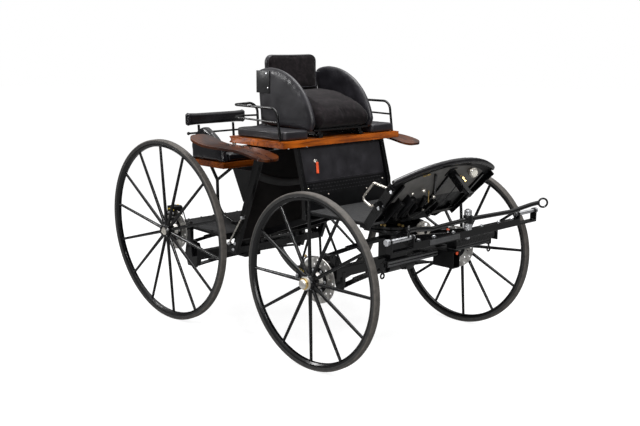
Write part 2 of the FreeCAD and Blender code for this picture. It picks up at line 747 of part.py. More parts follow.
def springs():
    half = S.beam_size / 2
    stack = S.leaf_thickness * (len(LEAF_SHARES) - 0.5)
    under_frame = FRAME_LOW - stack - S.rear_upper_eye
    under_beam = S.rear_beam_height - half - stack - S.rear_lower_eye
    frame_flat = S.frame_half + S.frame_size / 2 + 7
    # name, axle, eyes across, eyes' height, rise, half the flat length
    packs = (
        ("rear_upper", REAR_AXLE, S.rear_eye_half, S.rear_upper_eye, under_frame, frame_flat),
        ("rear_lower", REAR_AXLE, S.rear_eye_half, S.rear_lower_eye, under_beam, S.clamp_half),
        ("front_upper", FRONT_AXLE, S.front_upper_half, S.front_upper_eye, S.front_upper_rise,
         S.clamp_half),
        ("front_lower", FRONT_AXLE, S.front_lower_half, S.front_lower_eye, S.front_lower_rise,
         S.clamp_half),
    )
    made = {name: leaf_spring(name, *values) for name, *values in packs}
    node("rear_springs", group("rear_springs_pair", [made["rear_upper"], made["rear_lower"]]))
    node("front_springs", group("front_springs_pair", [made["front_upper"], made["front_lower"]]))


def calipers(label, x, radius, camber, xs, zs):
    """Left and right brake calipers that straddle the discs."""
    inner, outer = DISC_ACROSS - S.caliper_inboard, DISC_ACROSS + S.caliper_outboard
    body = block(label + "_block", xs, (inner, outer), zs)
    slot = DOC.addObject("Part::Cylinder", label + "_slot")
    bind(slot, "Radius", S.disc_radius + S.disc_gap)
    bind(slot, "Height", S.disc_thickness + S.disc_gap * 2)
    spot = wheel_placement(x, radius, camber, 1)
    depth = float(S.disc_inset + S.disc_thickness / 2 + S.disc_gap)
    slot.Placement = spot.multiply(Placement(Vector(0, 0, -depth), Rotation()))
    node(label, both_sides(label + "_both", cut(label + "_left", body, slot)))


def running_gear():
    rear_axle()
    front_axle()
    springs()
    rear_hub = hub_height(S.rear_wheel_radius, S.rear_camber)
    front_hub = hub_height(S.front_wheel_radius, S.front_camber)
    arm = S.disc_radius - 42
    calipers("rear_calipers", REAR_AXLE, S.rear_wheel_radius, S.rear_camber,
             (REAR_AXLE - 40, REAR_AXLE + 40), (rear_hub + arm, rear_hub + arm + 64))
    calipers("front_calipers", FRONT_AXLE, S.front_wheel_radius, S.front_camber,
             (FRONT_AXLE - arm - 58, FRONT_AXLE - arm + 4), (front_hub - 9, front_hub + 61))
    brake_hoses(rear_hub, front_hub)


def brake_hoses(rear_hub, front_hub):
    """From each caliper over to the upright beside it."""
    inner = DISC_ACROSS - S.caliper_inboard
    outer = S.upright_inner + S.upright_thickness
    x = REAR_AXLE
    rear = bent_tube("rear_hose", [
        (x - 31, inner, rear_hub + 138), (x - 31, inner - 44, rear_hub + 152),
        (x - 24, inner - 58, rear_hub + 92), (x - 14, outer, rear_hub + 18),
    ], S.hose_radius, 0)
    node("rear_brake_hoses", both_sides("rear_hoses_both", seated(rear, "rear")))
    x = FRONT_AXLE
    front = bent_tube("front_hose", [
        (x - 130, inner + 21, front_hub + 61), (x - 130, inner + 19, front_hub + 106),
        (x - 96, inner - 34, front_hub + 114), (x - 34, outer - 12, front_hub + 86),
    ], S.hose_radius, 0)
    node("front_brake_hoses", both_sides("front_hoses_both", seated(front, "front")))


def seated(hose, end):
    """The hose without what its square ends would sink into the axle and the caliper."""
    for name in (f"{end}_axle", f"{end}_calipers"):
        hose = cut(f"{hose.Name}_less_{name}", hose, PARTS[name])
    return hose


# ---------------------------------------------------------------- chassis
def chassis():
    """Two tubes from the platform up to the turntable, their cross members and the rear saddle."""
    half = S.frame_size / 2
    deep = S.frame_size
    high = S.floor_top - S.floor_thickness - deep
    rear_end = REAR_AXLE - 230
    bend_high = S.floor_rear + 20
    front_end = FLOOR_FRONT - 60
    kink = 12
    route = [
        (rear_end, FRAME_LOW), (S.frame_bend, FRAME_LOW), (bend_high, high), (front_end, high),
        (front_end, high + deep), (bend_high - kink, high + deep),
        (S.frame_bend - kink, FRAME_LOW + deep), (rear_end, FRAME_LOW + deep),
    ]
    left = plate("chassis_left", "XZ_Plane", route, S.frame_half - half, S.frame_half + half)
    right = plate("chassis_right", "XZ_Plane", route, -S.frame_half - half, -S.frame_half + half)
    between = S.frame_half - half
    bearer = S.platform_half_rear - 30
    wide, slim = 50, 20
    # along the vehicle, half the depth, half the length, underside
    ties = ((REAR_AXLE, wide, between, FRAME_LOW), (REAR_AXLE - 190, slim, bearer, FRAME_LOW),
            (S.platform_front - 60, slim, bearer, FRAME_LOW),
            (S.floor_rear + 60, slim, between, high), (front_end - 24, slim, between, high))
    members = [block(f"chassis_tie{n}", (x - depth, x + depth), (-reach, reach), (low, low + deep))
               for n, (x, depth, reach, low) in enumerate(ties)]
    saddle_half = S.clamp_half - 10
    saddle = block("rear_saddle", (REAR_AXLE - wide, REAR_AXLE + wide), (-saddle_half, saddle_half),
                   (S.rear_lower_eye, FRAME_LOW))
    for name in ("rear_springs", "rear_axle"):
        saddle = cut("rear_saddle_less_" + name, saddle, PARTS[name])
    node("chassis_frame", fuse("chassis_all", [left, right, saddle] + members))


def leg_at(height):
    """Rear legs' centre line, along the vehicle, at a height."""
    under = float(S.board_top - S.board_thickness)
    slope = float(S.leg_head - S.leg_foot) / (under - float(S.leg_low))
    return float(S.leg_foot) + slope * (float(height) - float(S.leg_low))


def seat_legs():
    under = S.board_top - S.board_thickness
    half = S.leg_depth / 2
    inner, outer = S.leg_half - S.leg_width / 2, S.leg_half + S.leg_width / 2
    foot, head, low = S.leg_foot, S.leg_head, S.leg_low
    leg = plate("rear_leg", "XZ_Plane", [
        (foot - half, low), (foot + half, low), (head + half, under),
        (head + half - S.leg_head_depth, under),
    ], inner, outer)
    slot_low, slot_top, slot_half = 1090, 1150, 7
    slot = plate("rear_leg_slot", "XZ_Plane", [
        (leg_at(slot_low) - slot_half, slot_low), (leg_at(slot_low) + slot_half, slot_low),
        (leg_at(slot_top) + slot_half, slot_top), (leg_at(slot_top) - slot_half, slot_top),
    ], inner - 1, outer + 1)
    bracket = block("rear_leg_bracket", (foot - 75, foot), (inner, outer), (low + 5, low + 55))
    brace_across = outer - 2
    brace = rod("rear_leg_brace", (leg_at(690) - 8, brace_across, 690),
                (foot - 53, brace_across, low + 50), 5)
    side = fuse("rear_leg_side", [cut("rear_leg_slotted", leg, slot), bracket, brace])
    beam_half = S.leg_beam / 2
    beam = block("foot_beam", (foot - beam_half, foot + beam_half), (-inner, inner),
                 (low, low + S.leg_beam))
    post = block("foot_post", (foot - beam_half, S.frame_bend - 1), (S.frame_half - 14, S.frame_half + 14),
                 (low + S.leg_beam, FRAME_LOW))
    node("rear_legs", fuse("rear_legs_all", [
        side, mirrored("rear_leg_other", side), beam, post, mirrored("foot_post_other", post)]))
    floor_z = S.floor_top - S.floor_thickness
    inner = S.front_leg_half - S.front_leg_width / 2
    outer = S.front_leg_half + S.front_leg_width / 2
    depth, knee = S.front_leg_depth, floor_z + 153
    foot, head = S.floor_rear + 4, S.front_leg_head - S.front_leg_depth / 2
    leg = plate("front_leg", "XZ_Plane", [
        (foot, floor_z), (foot + depth, floor_z), (foot + depth - 10, knee),
        (head + depth, under), (head, under), (foot - 10, knee),
    ], inner, outer)
    sill_beam = block("sill_beam", (S.floor_rear, S.floor_rear + 40), (-outer, outer),
                      (floor_z - 34, floor_z))
    sill = cut("sill_beam_clear", sill_beam, PARTS["chassis_frame"])
    node("front_legs", fuse("front_legs_all", [leg, mirrored("front_leg_other", leg), sill]))


# ---------------------------------------------------------------- footwell and dash
def footwell():
    half = S.front_leg_half - S.front_leg_width / 2
    node("footwell_floor", block("floor_plate", (S.floor_rear, FLOOR_FRONT), (-half, half),
                                 (S.floor_top - S.floor_thickness, S.floor_top)))
    base = block("pedal_base", (FLOOR_FRONT - 90, FLOOR_FRONT - 40), (-150, 10),
                 (S.floor_top, S.floor_top + 24))
    pedals = [base]
    for number, y in enumerate((-120, -30)):
        foot, head = (FLOOR_FRONT - 65, y, S.floor_top + 16), on_dash(-y, 90, 60)
        pedals.append(bar_between(f"pedal_arm{number}", foot, head, 12, 16))
        low, high = on_dash(-y, 60, 60), on_dash(-y, 120, 60)
        pedals.append(bar_between(f"pedal_pad{number}", low, high, 62, 8))
    node("brake_pedals", fuse("brake_pedals_all", pedals))


def incline(name, outline, low, high):
    """Plate in the dash's plane: outline in (across, up the slope), thickness along its normal."""
    body = plate(name, "XY_Plane", outline, low, high)
    slope = math.radians(float(S.dash_slope))
    up = Vector(math.cos(slope), 0, math.sin(slope))
    across = Vector(0, -1, 0)
    body.Placement = Placement(point(FLOOR_FRONT, 0, S.floor_top),
                               Rotation(across, up, across.cross(up), "ZXY"))
    return body


def on_dash(across, up, off=0.0):
    """Point given across the dash, up its slope and off its upper face."""
    slope = math.radians(float(S.dash_slope))
    base = point(FLOOR_FRONT, 0, S.floor_top)
    up_way = Vector(math.cos(slope), 0, math.sin(slope))
    normal = Vector(-math.sin(slope), 0, math.cos(slope))
    spot = base + up_way * float(up) + normal * float(off)
    return (spot.x, -float(across), spot.z)


def dash_edge(up):
    """Half the dash's width at a distance up its slope."""
    low, high = float(S.dash_half_low), float(S.dash_half_high)
    return low + (high - low) * float(up) / float(S.dash_reach)


# Ribs on the dash's front face: across and up the slope at the foot, then at the head.
DASH_RIBS = (
    (-374, 30, -362, 360), (374, 30, 362, 360), (-16, 30, -16, 250),
    (-12, 236, 142, 425), (-26, 236, 2, 425),
)
# Ends of the hand loop on the dash's right web: up the slope, off the dash's face.
LOOP_ENDS = ((188, -4), (345, -14))


def dash():
    """Sloping panel with an arched top between side webs, with ribs on its front face."""
    wall, reach = S.web_thickness, S.dash_reach
    low, high = S.dash_half_low, S.dash_half_high
    panel_low, panel_high = low - wall, high - wall
    node("dash_panel", incline("dash_plate", [
        (panel_low, 0), (panel_high, reach), (-panel_high, reach, -float(S.dash_arch)), (-panel_low, 0),
    ], -S.dash_thickness, 0))
    rib_depth, rib_half, foot_up, bar_top = 16, 8, 14, 44
    below = -S.dash_thickness - rib_depth
    frame = []
    for number, (foot, foot_rise, head, head_rise) in enumerate(DASH_RIBS):
        frame.append(incline(f"dash_rib{number}", [
            (foot + rib_half, foot_rise), (head + rib_half, head_rise),
            (head - rib_half, head_rise), (foot - rib_half, foot_rise),
        ], below, -S.dash_thickness))
    # Square bracket that stands out from the front face.
    frame.append(incline("dash_bracket", [(14, 400), (14, 422), (-14, 422), (-14, 400)],
                         -150, -S.dash_thickness))
    frame.append(incline("dash_foot_bar", [
        (low, foot_up), (low, bar_top), (-low, bar_top), (-low, foot_up),
    ], below, -S.dash_thickness))
    top = reach - 20
    web = incline("dash_web", [
        (panel_low, 0), (low, 0), (dash_edge(top), top), (dash_edge(top) - wall, top),
    ], -S.web_depth, S.web_lip)
    under = S.floor_top - S.floor_thickness
    start, end = on_dash(0, 1, -S.dash_thickness), on_dash(0, 100, -S.dash_thickness)
    knee = plate("dash_knee", "XZ_Plane", [
        (FLOOR_FRONT - 110, under), (FLOOR_FRONT, under), (start[0], start[2]), (end[0], end[2]),
        (end[0] + 4, end[2] - 30), (FLOOR_FRONT - 40, under - 30), (FLOOR_FRONT - 110, under - 30),
    ], 296, 308)
    clamps = [incline(f"loop_clamp{n}", [
        (dash_edge(up) - 2, up - 13), (dash_edge(up) + 22, up - 13), (dash_edge(up) + 22, up + 13),
        (dash_edge(up) - 2, up + 13),
    ], off - 13, off + 13) for n, (up, off) in enumerate(LOOP_ENDS)]
    mirrored_parts = [mirrored(f"{thing.Name}_other", thing) for thing in (web, knee)]
    box = block("dash_box", (FLOOR_FRONT + 73, FLOOR_FRONT + 101), (-170, 75),
                (S.floor_top + 1, S.floor_top + 44))
    hangers = [incline(f"dash_box_hanger{n}", [(y + 6, 60), (y + 6, 100), (y - 6, 100), (y - 6, 60)],
                       -70, -S.dash_thickness) for n, y in enumerate((150, -55))]
    node("dash_frame", fuse("dash_frame_all",
                            frame + [web, knee, box] + hangers + mirrored_parts + clamps))
    node("dash_rim", rim_roll(panel_low, panel_high, reach))


def rim_roll(low, high, reach):
    """Round roll seated on the dash panel's arched edge."""
    off = -float(S.dash_thickness) / 2
    arch = Part.Arc(Vector(*on_dash(high, reach, off)),
                    Vector(*on_dash(0, reach + S.dash_arch, off)),
                    Vector(*on_dash(-high, reach, off))).toShape()
    spine = DOC.addObject("Part::Feature", "dash_rim_route")
    spine.Shape = Part.Wire([arch])
    profile = DOC.addObject("Part::Circle", "dash_rim_section")
    bind(profile, "Radius", S.rim_roll)
    along = arch.tangentAt(arch.FirstParameter)
    profile.Placement = Placement(arch.valueAt(arch.FirstParameter),
                                  Rotation(Vector(0, 0, 1), along))
    sweep = DOC.addObject("Part::Sweep", "dash_rim_sweep")
    sweep.Sections = [profile]
    sweep.Spine = (spine, ["Edge1"])
    sweep.Solid = True
    slack = 3
    slot = incline("dash_rim_slot", [
        (low + slack, 0), (high + slack, reach), (-high - slack, reach, -float(S.dash_arch) - slack),
        (-low - slack, 0),
    ], -S.dash_thickness, 0)
    return cut("dash_rim_seated", sweep, slot)


def grab_loop():
    """Rectangular hand loop that stands on the right web of the dash."""
    radius = 7
    # up the slope, off the dash's face
    corners = (LOOP_ENDS[0], (140, 26), (112, 101), (272, 90), LOOP_ENDS[1])
    route = [on_dash(dash_edge(up) + radius + 4, up, off) for up, off in corners]
    loop = bent_tube("grab_loop_tube", route, radius, 22)
    node("grab_loop", cut("grab_loop_seated", loop, PARTS["dash_frame"]))


# ---------------------------------------------------------------- driver's seat
def seat_board():
    """Board with a cove along its rear edge."""
    half = S.board_half
    middle = S.board_top - S.board_thickness / 2
    body = block("seat_board_body", (S.board_rear, S.board_front), (-half, half),
                 (S.board_top - S.board_thickness, S.board_top))
    cove = rod("seat_board_cove", (S.board_rear, -half - 1, middle), (S.board_rear, half + 1, middle),
               S.board_cove)
    node("seat_board", cut("seat_board_coved", body, cove))


def side_pads():
    pad = block("side_pad_block", (S.pad_rear, S.pad_front), (S.pad_inner, S.pad_outer),
                (S.board_top, S.board_top + S.pad_height))
    DOC.recompute()
    rounded = DOC.addObject("Part::Fillet", "side_pad_left")
    rounded.Base = pad
    corner = float(S.pad_corner)
    upright = [n for n, e in enumerate(pad.Shape.Edges, 1) if abs(e.tangentAt(0).z) > 0.9]
    rounded.Edges = [(n, corner, corner) for n in upright]
    node("side_pads", both_sides("side_pads_both", rounded))


def driver_seat():
    """Padded wings, a thin shell on slide rails, a wedge cushion and a rounded back pad."""
    inner, outer = S.seat_half, S.seat_half + S.wing_thickness
    low = S.seat_floor
    wing = plate("seat_wing_left", "XZ_Plane", [
        (-222, low + 19), (232, low), (259, low + 58, -3), (-120, 1664, -85), (-238, 1646, -6),
        (-256, 1630),
    ], inner, outer)
    node("seat_wings", both_sides("seat_wings_both", wing))
    back = plate("seat_back_shell", "XZ_Plane", [
        (-256, 1630), (-222, low), (-206, low), (-240, 1630),
    ], -inner, inner)
    pan_top = low + 12
    pan = block("seat_pan", (-210, 240), (-inner, inner), (low, pan_top))
    slide_half, slide_top = 16, S.board_top + S.slide_height
    slides = []
    for n, y in enumerate((-180, 180)):
        slides.append(block(f"slide_{n}", (-190, 236), (y - slide_half, y + slide_half),
                            (S.board_top, slide_top)))
        for end, x in enumerate((-150, 210)):
            slides.append(block(f"slide_carrier_{n}{end}", (x - 14, x + 14), (y - 12, y + 12),
                                (slide_top, low)))
    node("seat_shell", fuse("seat_shell_all", [back, pan] + slides))
    node("seat_cushion", plate("seat_cushion_body", "XZ_Plane", [
        (-206, pan_top), (254, pan_top), (269, 1354, -2), (221, 1409, -4), (131, 1462, -5),
        (-22, 1508, -6), (-222, 1516),
    ], -inner + 1, inner - 1))
    pad_half, pad_low, pad_top, corner = inner - 19, 1516, 1742, 50
    profile = plate("back_pad_profile", "XZ_Plane", [
        (-236, pad_low), (-202, pad_low), (-218, pad_top), (-264, pad_top), (-258, 1630), (-248, 1630),
    ], -pad_half, pad_half)
    bulge = corner * (1 - math.sqrt(0.5))
    face = plate("back_pad_face", "YZ_Plane", [
        (-pad_half, pad_low), (pad_half, pad_low), (pad_half, pad_top - corner),
        (pad_half - corner, pad_top, -bulge), (-pad_half + corner, pad_top),
        (-pad_half, pad_top - corner, -bulge),
    ], -300, -150)
    pad = common("back_pad_rounded", profile, face)
    node("back_pad", cut("back_pad_clear", pad, PARTS["seat_shell"]))


def seat_rails():
    """Bent hand rail round each end of the seat, with a lower rail between its uprights."""
    top, low, floor = S.rail_top, S.rail_lower, S.board_top
    upper = bent_tube("rail_upper", [
        (218, 500, floor), (186, 504, top), (-226, 492, top), (-250, 400, top),
        (-226, 300, top + 8), (-217, 296, floor),
    ], S.rail_radius, 60)
    lower = bent_tube("rail_lower", [
        (200, 502, low), (-226, 492, low + 8), (-246, 400, low + 10), (-222, 299, low + 10),
    ], S.rail_radius - 2, 50)
    side = cut("rail_seated", fuse("rail_left", [upper, lower]), PARTS["seat_board"])
    node("seat_rails", both_sides("rails_both", side))


def seat_box():
    """Apron of leather and perforated plate in front of the legs, mesh panel behind."""
    half = S.front_leg_half - S.front_leg_width / 2
    node("front_flap", plate("front_flap_body", "XZ_Plane", [
        (219, 1198), (272, 983), (282, 985), (229, 1200),
    ], -half + 6, half - 6))
    foot = S.floor_rear
    node("kick_panel", plate("kick_body", "XZ_Plane", [
        (272, 983), (foot + 2, 905), (foot + 5, S.floor_top), (foot + 15, S.floor_top),
        (foot + 11, 905), (280, 983),
    ], -half, half))
    half = S.leg_half - S.leg_width / 2
    low, high, thick = S.panel_low, S.panel_high, S.sheet_thickness / 2
    mesh = plate("rear_panel_body", "XZ_Plane", [
        (leg_at(low) - thick, low), (leg_at(low) + thick, low),
        (leg_at(high) + thick, high), (leg_at(high) - thick, high),
    ], -half, half)
    node("rear_mesh_panel", cut("rear_panel_clear", mesh, PARTS["chassis_frame"]))


# ---------------------------------------------------------------- mudguards, groom's place
def mudguards():
    """Bent boards between the wheels on arms under the driver's seat board."""
    thick, flat = S.guard_thickness, S.guard_flat
    under = flat - thick
    rear, front = S.guard_rear, S.guard_front
    inner, outer = S.guard_inner, S.guard_outer
    rear_top, front_top = flat + 50, flat - 42
    level_rear, level_front = -144, 60
    sweep_up, sweep_down = 14, 7.5
    side = plate("guard_side", "XZ_Plane", [
        (rear, rear_top - thick), (level_rear, under, -sweep_up), (level_front, under),
        (front, front_top - thick, sweep_down), (front, front_top), (level_front, flat, -sweep_down),
        (level_rear, flat), (rear, rear_top, sweep_up),
    ], inner, outer)
    corner = S.guard_corner
    bulge = float(corner) * (1 - math.sqrt(0.5))
    plan = plate("guard_plan", "XY_Plane", [
        (rear + corner, inner, -bulge), (front - corner, inner), (front, inner + corner, -bulge),
        (front, outer - corner), (front - corner, outer, -bulge), (rear + corner, outer),
        (rear, outer - corner, -bulge), (rear, inner + corner),
    ], front_top - 100, rear_top + 100)
    node("mudguards", both_sides("guards_both", common("guard_left", side, plan)))
    arms = []
    leg_outer = S.leg_half + S.leg_width / 2
    for number, x in enumerate((-76, 34)):
        arms.append(block(f"guard_arm{number}", (x - 14, x + 14), (leg_outer, outer - 35),
                          (under - 14, under)))
        arms.append(block(f"guard_hanger{number}", (x - 14, x + 14), (440, 500),
                          (under, S.board_top - S.board_thickness)))
    tie = block("guard_tie", (-76, 34), (460, 480), (under - 14, under))
    node("mudguard_arms", both_sides("guard_arms_both", fuse("guard_arms_left", arms + [tie])))


def groom_seat():
    """Board, curved side bolsters, cushion and a backrest on two posts."""
    top, under = S.groom_top, S.groom_top - S.groom_thickness
    rear, front, half = S.groom_rear, S.groom_front, S.groom_half
    inner = half - S.bolster_thickness
    node("groom_board", block("groom_board_body", (rear, front), (-half, half), (under, top)))
    bolster = plate("bolster_body", "XZ_Plane", [
        (rear + 10, top), (front - 13, top), (front - 38, top + 97), (-790, top + 226, -16),
        (rear + 2, top + 93, -32),
    ], inner, half)
    node("groom_bolsters", both_sides("bolsters_both", bolster))
    node("groom_cushion", block("groom_cushion_body", (rear + 20, front - 14), (-inner, inner),
                                (top, top + 58)))
    pad_top, pad_low = S.groom_pad_top, S.groom_pad_top - 86
    pad_rear, pad_front, edge = -1052, -1008, 14
    pad = block("groom_pad", (pad_rear, pad_front), (-265, 265), (pad_low, pad_top))
    DOC.recompute()
    rounded = DOC.addObject("Part::Fillet", "groom_pad_rounded")
    rounded.Base = pad
    rounded.Edges = [(n, edge, edge) for n in range(1, 13)]
    node("groom_backrest", rounded)
    across = S.post_half
    knee, post_top = (-1012, across, top), (-1030, across, pad_low + 30)
    post = bent_tube("groom_post", [(-1012, across, under - 30), knee, post_top], S.post_radius, 60)
    tread = block("groom_post_foot", (-1018, rear), (across - 10, across + 10), (under + 6, under + 30))
    rung_x, rung_z = -1023.5, 1180
    rung = rod("groom_rung", (rung_x, -250, rung_z), (rung_x, 250, rung_z), S.post_radius - 2)
    knob = DOC.addObject("Part::Sphere", "groom_rung_knob")
    knob.Radius = 12
    place(knob, (rung_x, 250, rung_z))
    side = fuse("groom_post_side", [post, tread, knob])
    posts = fuse("groom_posts_all", [side, mirrored("groom_post_other", side), rung])
    posts = cut("groom_posts_clear", posts, PARTS["groom_backrest"])
    node("groom_posts", posts)
    lean = (post_top[0] - knee[0]) / float(post_top[2] - top)
    ends = [(knee[0] + lean * rise, across, top + rise) for rise in (16, 112)]
    sleeve = cut("post_sleeve", rod("post_sleeve_body", *ends, S.post_radius + 6),
                 rod("post_sleeve_bore", *ends, S.post_radius + 0.3))
    node("post_sleeves", both_sides("post_sleeves_both", sleeve))


def groom_stays():
    """Curved stays with forked heads that carry the groom's seat on the platform."""
    under, across = S.groom_top - S.groom_thickness, S.stay_half
    floor = S.platform_top
    fork = (-762, across, under - 102)
    main = bent_tube("stay_main", [fork, (-757, across, floor + 69), (-566, across, floor + 14)],
                     S.stay_radius, 0)
    arms = [bar_between(f"stay_arm{n}", fork, (x, across, under), 16, 16)
            for n, x in enumerate((-838, -600))]
    shoe = block("stay_shoe", (-596, -540), (across - 16, across + 16), (floor, floor + 26))
    stay = cut("groom_stay_clear", fuse("groom_stay_left", [main, shoe] + arms), PARTS["groom_board"])
    node("groom_stays", both_sides("stays_both", stay))


def groom_box():
    """Open box in front of the groom's board, tapered downwards, hung by its flanges."""
    wall, low, top = S.sheet_thickness, S.box_low, S.box_top
    half, foot_half = S.box_half, S.box_half - 40
    board_under = S.groom_top - S.groom_thickness
    front, rear = -227, S.groom_front - 3
    front_foot, rear_foot = front - 50, rear + 60
    levels = ((low, rear_foot, front_foot, foot_half, 0), (top, rear, front, half, 0))
    outer = tapered("groom_box_outer", levels)
    hole = tapered("groom_box_hole", (
        (low + wall, rear_foot, front_foot, foot_half, wall), (top + 1, rear, front, half, wall)))
    flange = block("groom_box_flange", (rear - 40, rear + 4), (-half + 30, half - 30),
                   (board_under - wall, board_under))
    arms = [block(f"groom_box_arm{n}", (front - 4, leg_at(top) - 2), (y - 12, y + 12), (top - 12, top))
            for n, y in enumerate((-190, 190))]
    shell = fuse("groom_box_shell", [outer, flange] + arms)
    shell = cut("groom_box_hollow", shell, hole)
    node("groom_box", cut("groom_box_clear", shell, PARTS["rear_mesh_panel"]))


def tapered(name, levels):
    """Loft between two level rectangles: height, rear, front, half width, inset."""
    body = DOC.addObject("PartDesign::Body", name)
    sections = []
    for number, (height, rear, front, half, inset) in enumerate(levels):
        sections.append(sketch_in(body, f"{name}_section{number}", "XY_Plane", [
            (rear + inset, -half + inset), (front - inset, -half + inset),
            (front - inset, half - inset), (rear + inset, half - inset),
        ], height))
    loft = body.newObject("PartDesign::AdditiveLoft", name + "_loft")
    loft.Profile = sections[0]
    loft.Sections = sections[1:]
    loft.Ruled = True
    return body


def platform():
    """Step board for the groom."""
    top = S.platform_top
    rear, front = REAR_AXLE - S.platform_behind, S.platform_front
    node("groom_platform", plate("platform_body", "XY_Plane", [
        (rear, -S.platform_half_rear), (front, -S.platform_half_front),
        (front, S.platform_half_front), (rear, S.platform_half_rear),
    ], top - S.platform_thickness, top))


# ---------------------------------------------------------------- front carriage
def ring(name, low, top):
    body = turned(name, [(S.ring_inner, low), (S.ring_outer, low), (S.ring_outer, top),
                         (S.ring_inner, top)])
    body.Placement = Placement(point(FRONT_AXLE, 0, 0), Rotation())
    return body


def front_carriage():
    """Turntable rings round the kingpin, the deck under them, the spring post and the arms."""
    ceiling = S.floor_top - S.floor_thickness - S.frame_size
    upper_low = ceiling - S.ring_thickness
    top = upper_low - S.steering_gap
    low = top - S.ring_thickness
    x = FRONT_AXLE
    pin = rod("kingpin", (x, 0, top - 40), (x, 0, ceiling), S.kingpin_radius)
    reach = S.ring_outer - 20
    spider = block("turntable_spider", (x - reach, x + reach), (-30, 30), (upper_low, ceiling))
    node("turntable_upper", fuse("turntable_upper_all", [
        ring("turntable_upper_ring", upper_low, ceiling), pin, spider]))
    bore = rod("kingpin_bore", (x, 0, top - 60), (x, 0, top + 1), S.kingpin_radius + S.running_gap)
    deck_low = low - 18
    deck_front = x + 240
    deck = block("front_deck", (x - 120, deck_front), (-130, 130), (deck_low, low))
    boss = rod("kingpin_boss", (x, 0, low), (x, 0, top), S.kingpin_radius + 26)
    bridge = block("ring_bridge", (x - 150, x + 150), (-30, 30), (low, top))
    foot = S.front_beam_height - 76
    post = plate("front_post", "XZ_Plane", [
        (x - 50, foot + 40), (x + 50, foot + 40, -40), (x + 50, deck_low), (x - 50, deck_low),
    ], -S.clamp_half + 5, S.clamp_half - 5)
    bar_rear = SPLINTER_X - S.splinter_size / 2
    tie_rear, tie_half = CROSSBAR_X - S.crossbar_size / 2, 16
    arms = []
    for n, y in enumerate((-105, 105)):
        arms.append(plate(f"front_arm{n}", "XZ_Plane", [
            (deck_front - 60, deck_low), (deck_front + 60, deck_low), (bar_rear, S.splinter_low),
            (bar_rear, S.splinter_low + 34), (deck_front + 40, low + 12), (deck_front - 60, low + 12),
        ], y - 14, y + 14))
        arms.append(plate(f"front_drop{n}", "XZ_Plane", [
            (x + 150, deck_low), (x + 120, deck_low), (tie_rear - 60, S.crossbar_height - tie_half),
            (tie_rear, S.crossbar_height - tie_half), (tie_rear, S.crossbar_height + tie_half),
            (tie_rear - 40, S.crossbar_height + tie_half),
        ], y - 12, y + 12))
    whole = fuse("front_carriage_solid", [ring("turntable_lower_ring", low, top), deck, boss, bridge,
                                          post] + arms)
    whole = cut("front_carriage_bored", whole, bore)
    for name in ("front_springs", "front_axle"):
        whole = cut("front_carriage_less_" + name, whole, PARTS[name])
    node("front_carriage", whole)
    turntable_brake(deck_front, low)


def turntable_brake(deck_front, deck_top):
    """Slotted disc on a bracket at the deck's front edge, turned a little to the right."""
    facing = Vector(math.cos(math.radians(35)), -math.sin(math.radians(35)), 0)
    centre = point(deck_front + 23, -34, deck_top + 36)
    half = 4
    disc = rod("brake_disc", tuple(centre - facing * half), tuple(centre + facing * half), 45)
    spindle = rod("brake_spindle", tuple(centre - facing * 34), tuple(centre + facing * 12), 10)
    bracket = block("brake_bracket", (deck_front - 22, deck_front - 4), (-34, 6),
                    (deck_top, deck_top + 50))
    slots = []
    for number in range(3):
        out = Rotation(facing, number * 120 + 90).multVec(Vector(0, 0, 1))
        spot = centre + out * 27
        slots.append(rod(f"brake_slot{number}", tuple(spot - facing * 9), tuple(spot + facing * 9), 10))
    disc = cut("brake_disc_slotted", disc, fuse("brake_slots", slots))
    node("turntable_brake", fuse("turntable_brake_all", [disc, spindle, bracket]))


def splinter_bar():
    """Bar with a U-shaped bracket at each end for the trace bolts."""
    half = S.splinter_size / 2
    x, low, top = SPLINTER_X, S.splinter_low, S.splinter_low + S.splinter_size
    bar = block("splinter_main", (x - half, x + half), (-S.splinter_half, S.splinter_half), (low, top))
    bracket_out = S.splinter_half + S.bracket_span
    cheek = 10
    base = block("splinter_base", (x - half, x + half), (S.splinter_half, bracket_out), (low, low + 12))
    cheeks = []
    for n, y in enumerate((S.splinter_half, bracket_out - cheek)):
        cheeks.append(plate(f"splinter_cheek{n}", "XZ_Plane", [
            (x - half, low), (x + half, low), (x + half, S.bolt_height),
            (x - half, S.bolt_height, -ROUND * half),
        ], y, y + cheek))
    side = fuse("splinter_bracket", [base] + cheeks)
    bar_all = fuse("splinter_all", [bar, side, mirrored("splinter_bracket_other", side)])
    bolt_z, bolt_head = S.bolt_height, 12
    bolt = rod("trace_bolt", (x, S.splinter_half - 14, bolt_z), (x, bracket_out + 2, bolt_z),
               S.bolt_radius)
    head = rod("trace_bolt_head", (x, bracket_out, bolt_z), (x, bracket_out + bolt_head, bolt_z),
               S.bolt_radius + 5)
    bolt_side = fuse("trace_bolt_left", [bolt, head])
    bolts = both_sides("trace_bolts_both", bolt_side)
    node("splinter_bar", cut("splinter_bored", bar_all, bolts))
    tree = S.tree_height
    boss_half = S.tree_boss / 2
    seat = rod("tree_pin_seat", (x, 0, top), (x, 0, tree - boss_half - 6), S.tree_pin + 14)
    pin = rod("tree_pin_shank", (x, 0, top), (x, 0, tree + boss_half + 18), S.tree_pin)
    cap = rod("tree_pin_cap", (x, 0, tree + boss_half + 5), (x, 0, tree + boss_half + 20),
              S.tree_pin + 12)
    node("draught_pins", group("draught_pins_all", [bolts, fuse("tree_pin_all", [pin, seat, cap])]))


